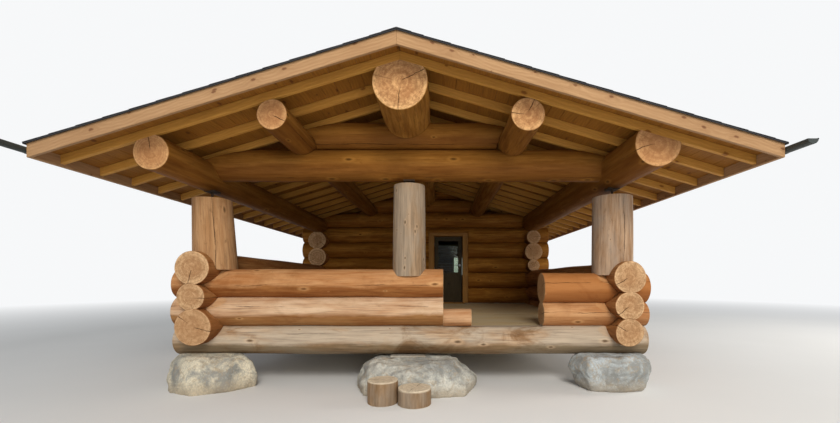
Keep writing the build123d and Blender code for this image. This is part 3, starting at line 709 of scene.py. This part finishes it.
logs = {}
for node, (along, anchor, _) in LOGS.items():
    logs[node] = [Log(node, box, along, anchor, 100 * len(logs) + i) for i, box in enumerate(solids(node))]
for node in GABLES:
    upper = logs[node][-3]
    for top in logs[node][-2:]:
        top.height = upper.height + upper.radius + top.radius - SCRIBE
every_log = [log for group in logs.values() for log in group]
sills = [logs[node][0] for node in ("front_sill_log", "cabin_sill_log", "rear_sill_log")]


def meets(log, other):
    """Whether two logs touch: one lies along the other, or they cross."""
    if abs(log.height - other.height) > log.radius + other.radius:
        return False
    if log.along == other.along:
        beside = abs(log.across - other.across) < log.radius
        return beside and log.start < other.end and other.start < log.end
    over = other.start - OVERLAP < log.across < other.end + OVERLAP
    return over and log.start - OVERLAP < other.across < log.end + OVERLAP


for log in every_log:
    for other in every_log:
        if log is other or not meets(log, other):
            continue
        if other.height < log.height:
            log.lower.append(other)
        elif other.along != log.along and log.node not in UNDER_ROOF and other.node not in UNDER_ROOF:
            if other.height > log.height:
                log.scarfs.append(other.across)

# What cuts the logs: the roof, the floors, the door and the window
porch_low, porch_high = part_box("porch_floor")
room_low, room_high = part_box("cabin_floor")
frame_low, frame_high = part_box("door_frame")
casing_low, casing_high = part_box("door_casing")
window_low, window_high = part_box("window_frame")
entry_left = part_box("left_front_rails")[1].x
entry_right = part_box("right_front_rails")[0].x
CASING_GAP = 0.002


def under_roof(points):
    """Leaves nothing above the rafters' underside."""
    points[..., 2] = np.minimum(points[..., 2], underside(points[..., 0]) - ROOF_GAP)


def casing_recess(points):
    """The flats that the door's casing and the frame's inner face lie on."""
    near = (points[..., 0] > casing_low.x - CASING_GAP) & (points[..., 0] < casing_high.x + CASING_GAP)
    near &= points[..., 2] < casing_high.z + CASING_GAP
    points[..., 1] = np.where(near, np.clip(points[..., 1], frame_low.y, frame_high.y), points[..., 1])


def cut(log, limit, axis, low, high, height, first=False):
    """Leaves nothing of a log past a height, between two places on an axis: above it for np.minimum."""
    def trim(points):
        within = (points[..., axis] > low) & (points[..., axis] < high)
        points[..., 2] = np.where(within, limit(points[..., 2], height), points[..., 2])

    log.trims.insert(0 if first else len(log.trims), trim)
    if axis == 0:
        log.extra += [low, high]


for node in UNDER_ROOF:
    for log in logs[node]:
        log.trims.append(under_roof)
        if node == "ridge_log" or log.along == "X":
            log.extra.append(RIDGE_X)
for sill, near, far in zip(sills, (None, porch_high, room_high), (porch_low, room_low, None)):
    if near:
        cut(sill, np.minimum, 1, sill.across - 1, near.y, porch_low.z)
    if far:
        cut(sill, np.minimum, 1, far.y, sill.across + 1, porch_low.z)
cut(sills[0], np.minimum, 0, entry_left, entry_right, porch_high.z)
cut(sills[1], np.minimum, 0, frame_low.x, frame_high.x, porch_high.z)
cut(logs["entry_log"][0], np.maximum, 2, -1, 9, porch_high.z + 0.0005)
for log in logs["cabin_wall_left_of_door"] + logs["cabin_wall_right_of_door"] + logs["cabin_gable_logs"][:1]:
    log.trims.append(casing_recess)
    log.extra += [casing_low.x - CASING_GAP, casing_high.x + CASING_GAP]
cut(logs["cabin_gable_logs"][0], np.maximum, 0, frame_low.x, frame_high.x, frame_high.z, first=True)
for log in logs["rear_wall_logs"]:
    if log.start > window_low.x or log.end < window_high.x:
        continue
    if log.height + log.radius > window_low.z > log.height:
        cut(log, np.minimum, 0, window_low.x, window_high.x, window_low.z)
    if log.height - log.radius < window_high.z < log.height + log.radius and log.height > window_low.z + 0.3:
        cut(log, np.maximum, 0, window_low.x, window_high.x, window_high.z)


def crack(across, up, strength):
    """A crack's direction as a unit, with its strength."""
    length = math.hypot(across, up)
    return across / length, up / length, strength


# The direction and strength of the two cracks in the ends of each of a node's logs, lowest first
CRACKS = {
    "left_side_logs": (
        ((1, -0.22, 0.9), (-0.6, 0.5, 0.25)), ((1, -0.1, 0.5), (-0.4, 1, 0.1)), ((-0.25, -1, 0.9), (1, 0.3, 0.1)),
    ),
    "right_side_logs": (
        ((-1, 0.62, 1.0), (0.5, -1, 0.15)), ((-0.8, -0.62, 1.0), (1, 0.5, 0.15)), ((-1, -0.45, 0.7), (0.2, 1, 0.1)),
    ),
    "left_front_rails": (((-1, 0.45, 0.5), (1, 0, 0.2)), ((-1, -0.1, 0.35), (1, 0, 0.2))),
    "right_front_rails": (((-1, 0.2, 1.0), (1, 0.4, 0.3)), ((-1, 0.42, 1.0), (1, -0.4, 0.3))),
    "ridge_log": (((1, 0.5, 0.9), (-0.05, -1, 0.45)),),
    "left_plate_log": (((-0.15, 1, 0.8), (0.5, -0.85, 0.15)),),
    "right_plate_log": (((-1, -0.3, 0.4), (0.3, 1, 0.2)),),
    "purlin_logs": (((0.85, -0.45, 1.0), (-0.3, 0.9, 0.15)), ((0.45, 1, 0.7), (-1, 0.1, 0.5))),
}
for node, pairs in CRACKS.items():
    for log, (first, second) in zip(logs[node], pairs):
        log.marks.update({"check": crack(*first), "check_two": crack(*second)})

# How dark each of these logs is, how strongly painted shade darkens its underside, and how far the weather has paled
# it
AGES = {
    "front_sill_log": ((0.15, 0.9, 0.25),),
    "left_front_rails": ((0.0, 1.0, 0.85), (0.6, 0.9, 0.1)),
    "right_front_rails": ((0.75, 0.45, 0.15), (1.45, 0.5, 0.0)),
    "entry_log": ((0.2, 0.5, 0.5),),
    "left_side_logs": ((1.0, 0.6, 0.0), (0.5, 0.6, 0.0), (0.4, 0.6, 0.0)),
    "right_side_logs": ((0.3, 0.6, 0.0), (0.2, 0.6, 0.0), (0.1, 0.6, 0.0)),
    "ridge_log": ((0.0, 0.0, 0.0),),
}
for node, ages in AGES.items():
    for log, age in zip(logs[node], ages):
        log.marks.update(zip(("tint", "under", "bleach"), age))


def log_into(body, log):
    """Adds a log, notched over the logs below it and cut by what meets it."""
    near = log.node in FRONT_LOGS
    crossings = [other.across for other in every_log if other.along != log.along and meets(log, other)]

    def shape(place, across, up):
        parts = [place, log.across + across, log.height + up]
        if log.along == "Y":
            parts[:2] = reversed(parts[:2])
        points = seat(np.stack(parts, axis=-1), log.lower)
        for trim in log.trims:
            trim(points)
        return points

    places = spread(log.start, log.end, crossings, log.extra, NEAR_STEP if near else FAR_STEP)
    sides = NEAR_SIDES if near else FAR_SIDES
    points, faces, marks = tube(places, log.start, log.end, log.surface, shape, sides, log.seed)
    if log.along == "X":
        faces = turned(faces)
    turn = np.arctan2(marks["grain"][:, 2], marks["grain"][:, 1])
    place = points[:, 0] if log.along == "X" else points[:, 1]
    scarf = (log.round_surface(place, turn) - log.surface(place, turn)) / SCARF_DEPTH
    marks["scarf"] = np.clip(5.0 * scarf, 0.0, 1.0)
    marks["tint"] = random.Random(log.seed).random()
    # Every log gets painted shade on its underside at half strength unless AGES gives another strength
    marks["under"] = 0.5
    marks.update(log.marks)
    body.add(points, faces, **marks)


def post(node, lean, direction, lower):
    """An upright log, which leans a little, narrows upwards and is notched over the logs below."""
    low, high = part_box(node)
    points = points_of(nodes[node].data)
    top = points[points[:, 2] > high.z - 0.002]
    top_radius = (top[:, 0].max() - top[:, 0].min()) / 2
    top_x = (top[:, 0].max() + top[:, 0].min()) / 2
    base_radius = (high.y - low.y) / 2
    base_x = top_x - lean
    middle_y = (high.y + low.y) / 2
    rise = high.z - low.z
    seed = len(node)

    def surface(place, turn):
        share = (place - low.z) / rise
        return base_radius + (top_radius - base_radius) * share + 0.7 * wobble(place, turn, seed)

    def shape(place, across, up):
        middle = base_x + (top_x - base_x) * (place - low.z) / rise
        return seat(np.stack([middle + across, middle_y + up, place + 0 * across], axis=-1), lower)

    rim = 0.003
    places = np.append(np.arange(low.z + rim, high.z - 0.02, POST_STEP), high.z - rim)
    points, faces, marks = tube(places, low.z, high.z, surface, shape, POST_SIDES, seed, rim)
    marks.update({"check": crack(*direction), "check_two": crack(0.3, 1, 0.3)})
    body = Body()
    body.add(points, faces, **marks)
    body.make(node, node + "_wood")


def dressed(node, slot, bevel=0.003, segments=1, smooth=False, body="cabin"):
    """A CAD node's own shape with eased edges, and a grain that runs along each of its pieces."""
    name = "visual_" + node
    mesh = nodes[node].data.copy()
    mesh.name = name
    form = bmesh.new()
    form.from_mesh(mesh)
    bmesh.ops.remove_doubles(form, verts=form.verts, dist=MERGE)
    bmesh.ops.dissolve_limit(form, angle_limit=0.002, verts=form.verts, edges=form.edges)
    bmesh.ops.recalc_face_normals(form, faces=form.faces)
    form.to_mesh(mesh)
    form.free()
    for key in ("grain", "end"):
        if key in mesh.attributes:
            mesh.attributes.remove(mesh.attributes[key])
    grain = mesh.attributes.new("grain", "FLOAT_VECTOR", "POINT")
    end = mesh.attributes.new("end", "FLOAT", "FACE")
    points = points_of(mesh)
    chance = random.Random(name)
    values = np.zeros_like(points)
    ways = {}
    for group in joined(len(points), [tuple(polygon.vertices) for polygon in mesh.polygons]):
        spanned = points[group]
        middle = spanned.mean(0)
        along = np.zeros(3)
        along[int(np.ptp(spanned, axis=0).argmax())] = 1.0
        if "rafter" in node or "barge" in node:
            steep = ROOF[-1][2] if middle[0] < RIDGE_X else -ROOF[1][2]
            along = np.array((1.0, 0.0, steep)) / math.hypot(1, steep)
        side = np.cross(along, (0.0, 0.0, 1.0)) if abs(along[2]) < 0.9 else np.array((1.0, 0, 0))
        side /= np.linalg.norm(side)
        over = np.cross(along, side)
        shift = chance.uniform(0, 30)
        for index in group:
            offset = points[index] - middle
            values[index] = (offset @ along + shift, offset @ side + shift, offset @ over)
            ways[index] = along
    grain.data.foreach_set("vector", values.astype(np.float32).ravel())
    facing = [abs(np.dot(polygon.normal, ways[polygon.vertices[0]])) for polygon in mesh.polygons]
    end.data.foreach_set("value", [1.0 if share > 0.75 else 0.0 for share in facing])
    mesh.polygons.foreach_set("use_smooth", [smooth] * len(mesh.polygons))
    if smooth:
        mesh.set_sharp_from_angle(angle=EASE_ANGLE)
    mesh.materials.clear()
    piece = bpy.data.objects.new(name, mesh)
    ease = piece.modifiers.new("ease", "BEVEL")
    ease.width = bevel
    ease.segments = segments
    ease.limit_method = "ANGLE"
    ease.angle_limit = EASE_ANGLE
    present(piece, node, body, slot)


def plank(body, corner, along, across, up, length, width, thick, ease=0.003, tint=0.0, shift=0.0):
    """A board from one lower corner, with its four long edges eased."""
    along, across, up = (np.asarray(way, dtype=float) for way in (along, across, up))
    outline = [
        (ease, 0), (width - ease, 0), (width, ease), (width, thick - ease), (width - ease, thick), (ease, thick),
        (0, thick - ease), (0, ease),
    ]
    points, grain = [], []
    for place in (0.0, length):
        for a, u in outline:
            points.append(np.asarray(corner) + along * place + across * a + up * u)
            grain.append((place + shift, a + shift, u + shift * 0.7))
    faces = prism(8)
    if np.dot(np.cross(across, up), along) < 0:
        faces = turned(faces)
    body.add(points, faces, flat=True, grain=grain, tint=tint)


def begun(node):
    """A node's box, a body to fill and the piece's own chance."""
    return *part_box(node), Body(), random.Random("visual_" + node)


def floor_boards(node):
    """Boards across the building, each of two lengths that meet at a joint."""
    low, high, body, chance = begun(node)
    count = round((high.y - low.y) / FLOOR_PITCH)
    pitch = (high.y - low.y) / count
    for row in range(count):
        joint = chance.uniform(0.25, 0.75) * (high.x - low.x) + low.x
        for start, end in ((low.x, joint - 0.002), (joint + 0.002, high.x)):
            corner = (start, low.y + row * pitch + FLOOR_GAP / 2, low.z)
            thick = high.z - low.z - chance.uniform(0, 0.0015)
            plank(
                body, corner, X_AXIS, Y_AXIS, Z_AXIS, end - start, pitch - FLOOR_GAP, thick, 0.004, chance.random(),
                chance.uniform(0, 40),
            )
    body.make(node, "floor_wood")


def slope_ways(side):
    """Unit directions down the slope and out of it."""
    steep = ROOF[side][2]
    run = math.hypot(1, steep)
    return np.array((side / run, 0, -steep / run)), np.array((side * steep / run, 0, 1 / run))


def slope_top(side, x, lift):
    """The point plumb over x on the plane that lies this far off the rafters' underside."""
    return np.array((x, 0.0, float(underside(np.array(x))) + lift * math.hypot(1, ROOF[side][2])))


def slope_size(side, low, high):
    """Where a slope's box has its peak, and how long the slope is."""
    eave, peak = (low.x, high.x) if side < 0 else (high.x, low.x)
    return peak, abs(eave - peak) * math.hypot(1, ROOF[side][2])


def deck_boards(node, side):
    """Boards along the roof, each row of three lengths."""
    low, high, body, chance = begun(node)
    down, out = slope_ways(side)
    peak, length = slope_size(side, low, high)
    length -= 0.007
    count = round(length / DECK_PITCH)
    pitch = length / count
    start = slope_top(side, peak, RAFTER_DEPTH + 0.0006) + down * 0.001
    for row in range(count):
        joints = sorted(chance.uniform(0.1, 0.9) for _ in range(2))
        places = [0.0, *joints, 1.0]
        for first, second in zip(places, places[1:]):
            y = low.y + first * (high.y - low.y) + 0.001
            corner = start + down * (row * pitch + DECK_GAP / 2) + np.array((0, y, 0))
            plank(
                body, corner, Y_AXIS, down, out, (second - first) * (high.y - low.y) - 0.002, pitch - DECK_GAP,
                DECK_THICKNESS - 0.001, 0.003, chance.random(), chance.uniform(0, 40),
            )
    body.make(node, "deck_wood")


def shingles(node, side):
    """A thin sheet with rows of shingle tabs on it, and a drip edge at both verges and at the eave."""
    low, high, body, chance = begun(node)
    down, out = slope_ways(side)
    peak, length = slope_size(side, low, high)
    length -= 0.004
    start = slope_top(side, peak, RAFTER_DEPTH + DECK_THICKNESS + 0.0012)

    def strip(y, away, along, size, width, thick, tint=0.0, way=down):
        """A thin plank from a place on the slope, at y along the roof."""
        plank(body, start + np.array((0, y, 0)) + away, along, way, out, size, width, thick, 0.001, tint)

    strip(low.y, 0, Y_AXIS, high.y - low.y, length, SHEET)
    rows = round(length / TAB_EXPOSURE)
    exposure = length / rows
    for row in range(rows):
        y = low.y - (row % 2) * TAB_LENGTH / 2
        while y < high.y:
            first, second = max(low.y, y + TAB_GAP), min(high.y, y + TAB_LENGTH - TAB_GAP)
            y += TAB_LENGTH
            if second - first < 0.02:
                continue
            reach = exposure * (row + 1) + chance.uniform(-0.002, 0.002)
            top = down * max(0.0, reach - exposure - TAB_LAP) + out * SHEET
            bottom = down * min(length, reach) + out * 0.008
            width = np.linalg.norm(bottom - top)
            tilted = (bottom - top) / width
            strip(first, top, Y_AXIS, second - first, width, TAB_THICKNESS, chance.random(), tilted)
    for y in (low.y, high.y - DRIP_WALL):
        strip(y, -out * DRIP, Y_AXIS, DRIP_WALL, length, DRIP + 0.006)
    tail = down * (length - DRIP_WALL) - out * DRIP
    strip(low.y, tail, Y_AXIS, high.y - low.y, DRIP_WALL, DRIP + 0.006)
    body.make(node, "roofing_felt")


def ridge_caps():
    """Short caps over the ridge, each lapped over the one before."""
    low, high, body, chance = begun("ridge_cap")
    tilt = np.array((0, 1, 0.02))
    tilt = tilt / np.linalg.norm(tilt)
    for side in (-1, 1):
        down, out = slope_ways(side)
        start = slope_top(side, RIDGE_X, RAFTER_DEPTH + DECK_THICKNESS + 0.0105)
        width = (high.x - low.x) / 2 * math.hypot(1, ROOF[side][2])
        y = low.y
        while y < high.y - 0.01:
            length = min(CAP_LENGTH, high.y - y)
            corner = start + np.array((0, y, 0))
            plank(body, corner, tilt, down, out, length, width, 0.004, 0.001, chance.random())
            y += CAP_PITCH
    body.make("ridge_cap", "roofing_felt")


def gutter(node, side):
    """The trough with a rolled front rim and straps round it."""
    low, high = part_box(node)
    radius = (high.x - low.x) / 2
    middle = (high.x + low.x) / 2
    rim = high.z
    body = Body()

    def arc(outer, inner, y_from, y_to, first, last, steps):
        turns = np.linspace(first, last, steps)
        ring = [(outer * math.cos(t), outer * math.sin(t)) for t in turns]
        ring += [(inner * math.cos(t), inner * math.sin(t)) for t in reversed(turns)]
        count = len(ring)
        points = [(middle + x, y, rim + z) for y in (y_from, y_to) for x, z in ring]
        faces = prism(count)[2:]
        for base, flip in ((0, True), (count, False)):
            for i in range(count // 2 - 1):
                face = (base + i, base + i + 1, base + count - 2 - i, base + count - 1 - i)
                faces.append(tuple(reversed(face)) if flip else face)
        body.add(points, turned(faces))

    arc(radius, radius - GUTTER_WALL, low.y, high.y, math.pi, math.tau, 25)
    for y in (low.y, high.y - GUTTER_WALL):
        arc(radius - 0.001, 0.0005, y, y + GUTTER_WALL, math.pi, math.tau, 25)
    roof_low, roof_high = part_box("front_barge_boards")[0].y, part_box("rear_barge_boards")[1].y
    for y in np.arange(roof_low + 0.05, roof_high, STRAP_PITCH):
        arc(radius + 0.0025, radius - 0.0005, y, y + STRAP_WIDTH, math.pi * 0.98, math.tau, 21)
    front = middle + side * (radius - 0.004)
    steps = 12
    turns = [math.tau * i / steps for i in range(steps)]
    ring = [(ROLL * math.cos(t), ROLL * math.sin(t)) for t in turns]
    points = [(front + x, y, rim - 0.002 + z) for y in (low.y, high.y) for x, z in ring]
    body.add(points, turned(prism(steps)))
    body.make(node, "gutter_metal")


def rocks(node, fineness):
    """The CAD boulders with a rough, chipped surface, and the flat shim stone between two of them."""
    mesh = nodes[node].data.copy()
    form = bmesh.new()
    form.from_mesh(mesh)
    bmesh.ops.remove_doubles(form, verts=form.verts, dist=MERGE)
    shims = [box for box in solids(node) if box[1].z - box[0].z < 0.1]
    for low, high in shims:
        inside = [
            vertex for vertex in form.verts
            if all(low[i] - 1e-4 < vertex.co[i] < high[i] + 1e-4 for i in range(3))
        ]
        bmesh.ops.delete(form, geom=inside, context="VERTS")
    form.to_mesh(mesh)
    form.free()
    source = bpy.data.objects.new("boulders", mesh)
    scene.collection.objects.link(source)
    remesh = source.modifiers.new("remesh", "REMESH")
    remesh.mode = "VOXEL"
    remesh.voxel_size = fineness
    shape = bpy.data.meshes.new_from_object(source.evaluated_get(bpy.context.evaluated_depsgraph_get()))
    bpy.data.objects.remove(source)
    points = points_of(shape)
    normals = np.array([tuple(vertex.normal) for vertex in shape.vertices])
    faces = [tuple(polygon.vertices) for polygon in shape.polygons]
    tints = np.zeros(len(points))
    stones = sorted(joined(len(points), faces), key=lambda group: points[group, 0].mean())
    for number, group in enumerate(stones):
        tints[group] = number / (len(stones) - 1)
    rough = np.array([
        0.6 * noise.fractal(Vector(point) * 2.6, 0.9, 2.1, 5)
        + 0.4 * noise.ridged_multi_fractal(Vector(point) * 1.7, 0.9, 2.0, 4, 1.0, 1.6)
        for point in points
    ])
    rough = (rough - rough.mean()) / rough.std()

    # The roughness dies out at the ground and under the sills, and nothing reaches into a sill
    clear = np.ones(len(points))
    for sill in sills:
        gap = np.hypot(points[:, 1] - sill.across, points[:, 2] - sill.height) - sill.radius
        clear = np.minimum(clear, np.clip(gap / SILL_CLEAR, 0, 1))
    ground = np.clip(points[:, 2] / GROUND_CLEAR, 0, 1)
    lift = np.clip(rough, -2.2, 1.2) * ROUGHNESS - ROUGH_INSET
    points = points + normals * lift[:, None] * (clear * ground)[:, None]
    points[:, 2] = np.maximum(points[:, 2], 0.0)
    for sill in sills:
        gap = np.hypot(points[:, 1] - sill.across, points[:, 2] - sill.height)
        scale = np.maximum((sill.radius + 0.001) / np.maximum(gap, 1e-6), 1.0)
        points[:, 1] = sill.across + (points[:, 1] - sill.across) * scale
        points[:, 2] = sill.height + (points[:, 2] - sill.height) * scale
    body = Body()
    body.add(points, faces, tint=tints)
    for low, high in shims:
        thick = min(high.z, sills[0].height - sills[0].radius) - 0.001 - low.z
        size = high - low
        plank(body, (low.x, low.y, low.z), X_AXIS, Y_AXIS, Z_AXIS, size.x, size.y, thick, 0.009, 1.0)
    body.make(node, "boulder_stone")


def stumps():
    """The two cut stumps that serve as steps."""
    body = Body()
    for number, (low, high) in enumerate(solids("step_stumps")):
        middle = (low + high) / 2
        radius = (high.x - low.x) / 2
        seed = 700 + number

        def surface(place, turn):
            return radius - 0.004 + 0.6 * wobble(place, turn, seed)

        def shape(place, across, up):
            return np.stack([middle.x + across, middle.y + up, place + 0 * across], axis=-1)

        places = np.arange(low.z + EDGE, high.z - EDGE, STUMP_STEP)
        points, faces, marks = tube(places, low.z, high.z, surface, shape, STUMP_SIDES, seed)
        body.add(points, faces, tint=0.5, **marks)
    body.make("step_stumps", "stump_wood")


# Materials
# The sill's below colour is the painted shade multiplied into its underside
round_wood(
    "sill_wood", (0.6, 0.43, 0.275), (0.31, 0.195, 0.11), (0.62, 0.44, 0.26), (0.38, 0.23, 0.12),
    grey=0.75, grey_colour=(0.5, 0.44, 0.35), cracks=0.6, stains=0.95, below=(0.42, 0.38, 0.3),
)
round_wood(
    "rail_wood", (0.64, 0.36, 0.16), (0.38, 0.15, 0.045), (0.68, 0.46, 0.25), (0.36, 0.19, 0.085),
    cracks=0.8, stains=0.35,
)
round_wood("side_log_wood", (0.50, 0.25, 0.09), (0.27, 0.105, 0.032), (0.74, 0.5, 0.28), (0.38, 0.2, 0.09))
round_wood(
    "left_post_wood", (0.52, 0.31, 0.155), (0.34, 0.175, 0.075), (0.66, 0.45, 0.26), (0.42, 0.24, 0.12),
    grey=0.2, grey_colour=(0.5, 0.37, 0.25),
)
round_wood(
    "centre_post_wood", (0.42, 0.29, 0.18), (0.24, 0.15, 0.08), (0.6, 0.44, 0.3), (0.4, 0.26, 0.15),
    grey=0.9, grey_colour=(0.36, 0.28, 0.2), cracks=0.3, knots=1.0, knot_scale=6.5,
)
round_wood(
    "right_post_wood", (0.48, 0.33, 0.215), (0.3, 0.18, 0.1), (0.6, 0.44, 0.3), (0.4, 0.26, 0.15),
    grey=0.6, grey_colour=(0.43, 0.35, 0.28),
)
round_wood(
    "roof_log_wood", (0.40, 0.19, 0.038), (0.2, 0.078, 0.012), (0.72, 0.44, 0.2), (0.38, 0.175, 0.07), cracks=0.8,
)
round_wood(
    "cabin_wall_wood", (0.54, 0.25, 0.045), (0.26, 0.1, 0.015), (0.6, 0.36, 0.17), (0.38, 0.18, 0.07), cracks=0.6,
)
round_wood(
    "stump_wood", (0.36, 0.24, 0.14), (0.2, 0.12, 0.06), (0.86, 0.76, 0.58), (0.64, 0.52, 0.37),
    grey=0.5, grey_colour=(0.36, 0.31, 0.25),
)
sawn_wood("rafter_wood", (0.62, 0.32, 0.065), (0.4, 0.18, 0.03))
sawn_wood("deck_wood", (0.33, 0.14, 0.018), (0.19, 0.07, 0.008))
sawn_wood("barge_wood", (0.45, 0.275, 0.14), (0.28, 0.15, 0.068), 6.0, knot_share=0.9)
sawn_wood("floor_wood", (0.54, 0.41, 0.22), (0.36, 0.25, 0.12), grey=0.6, grey_colour=(0.5, 0.42, 0.28))
sawn_wood("joinery_wood", (0.44, 0.23, 0.065), (0.27, 0.12, 0.03))
sawn_wood("door_paint", (0.075, 0.052, 0.02), (0.03, 0.022, 0.01), roughness=0.5)
stone("boulder_stone", (0.76, 0.69, 0.53), (0.54, 0.59, 0.61), (0.27, 0.275, 0.26), (0.42, 0.32, 0.2))
metal("jack_steel", (0.07, 0.045, 0.028), 0.7, 0.4)
metal("fitting_steel", (0.5, 0.5, 0.5), 0.3)
metal("gutter_metal", (0.055, 0.065, 0.062), 0.45, 0.3)
felt("roofing_felt")
pane("glass")

# Logs and posts
for node, (_, _, slot) in LOGS.items():
    body = Body()
    for log in logs[node]:
        log_into(body, log)
    body.make(node, slot)
left_rails, right_rails = logs["left_front_rails"], logs["right_front_rails"]
post("left_post", -0.047, (0.5, -0.87, 1.0), left_rails + logs["left_side_logs"][:3])
post("right_post", 0.0, (0.165, -0.986, 1.0), right_rails + logs["right_side_logs"][:3])
post("centre_post", 0.0, (-0.3, -1, 0.2), left_rails)

# Sawn wood, joinery and fittings
for slot, pieces in (
    ("floor_wood", ("floor_joists",)),
    ("rafter_wood", ("left_rafters", "right_rafters")),
    ("barge_wood", ("front_barge_boards", "rear_barge_boards", "eave_fascias")),
    ("joinery_wood", ("door_frame", "door_casing", "window_frame")),
):
    for node in pieces:
        dressed(node, slot)
dressed("post_jacks", "jack_steel", 0.002)
dressed("frame_hinges", "fitting_steel", 0.0008, 2, True)
dressed("window_glass", "glass", 0.001)
dressed("door_leaf", "door_paint", 0.003, 2, False, "door")
dressed("door_glass", "glass", 0.001, 1, False, "door")
dressed("door_handle", "fitting_steel", 0.0015, 2, True, "door")
dressed("door_hinges", "fitting_steel", 0.0008, 2, True, "door")
floor_boards("porch_floor")
floor_boards("cabin_floor")
for side, name in ((-1, "left"), (1, "right")):
    deck_boards(name + "_roof_deck", side)
    shingles(name + "_roofing", side)
    gutter(name + "_gutter", side)
ridge_caps()
rocks("front_boulders", 0.026)
rocks("rear_boulders", 0.034)
stumps()


def stage():
    """A pale floor, a pale room and soft light."""
    material = bpy.data.materials.new("ground")
    ground = Tree(material)
    place = ground.place()
    away = ground.read("Value", "ShaderNodeVectorMath", settings={"operation": "LENGTH"}, Vector=place)
    faded = ground.span(away, FADE_START, FADE_END) * ground.seen()
    pale = ground.mix(ground.noise(place, 0.6, 2.0), (0.78, 0.78, 0.77), (0.82, 0.82, 0.81))
    ground.surface(
        Base_Color=ground.mix(faded, pale, (0.0, 0.0, 0.0)), Emission_Color=BACKGROUND, Emission_Strength=faded,
        Roughness=0.95, Specular_IOR_Level=0.0,
    )
    corners = [(x * FLOOR_REACH, y * FLOOR_REACH, -0.001) for x, y in ((-1, -1), (1, -1), (1, 1), (-1, 1))]
    mesh = bpy.data.meshes.new("ground")
    mesh.from_pydata(corners, [], [(0, 1, 2, 3)])
    mesh.materials.append(material)
    floor = bpy.data.objects.new("ground", mesh)
    scene.collection.objects.link(floor)

    scene.world = bpy.data.worlds.new("room")
    room = Tree(scene.world)
    room.nodes.clear()
    lit = room.read(0, "ShaderNodeBackground", Color=(0.92, 0.96, 1.0), Strength=SKY)
    shown = room.read(0, "ShaderNodeBackground", Color=BACKGROUND)
    room.add("ShaderNodeOutputWorld", room.read(0, "ShaderNodeMixShader", room.seen(), lit, shown))

    for name, spot, target, size, power, colour in LIGHTS:
        data = bpy.data.lights.new(name, "AREA")
        data.shape = "DISK"
        data.size = size
        data.energy = power
        data.color = colour
        lamp = bpy.data.objects.new(name, data)
        lamp.visible_glossy = False
        lamp.location = spot
        lamp.rotation_euler = (Vector(target) - Vector(spot)).to_track_quat("-Z", "Y").to_euler()
        scene.collection.objects.link(lamp)


stage()
make_camera()
scene.view_settings.view_transform = "Standard"
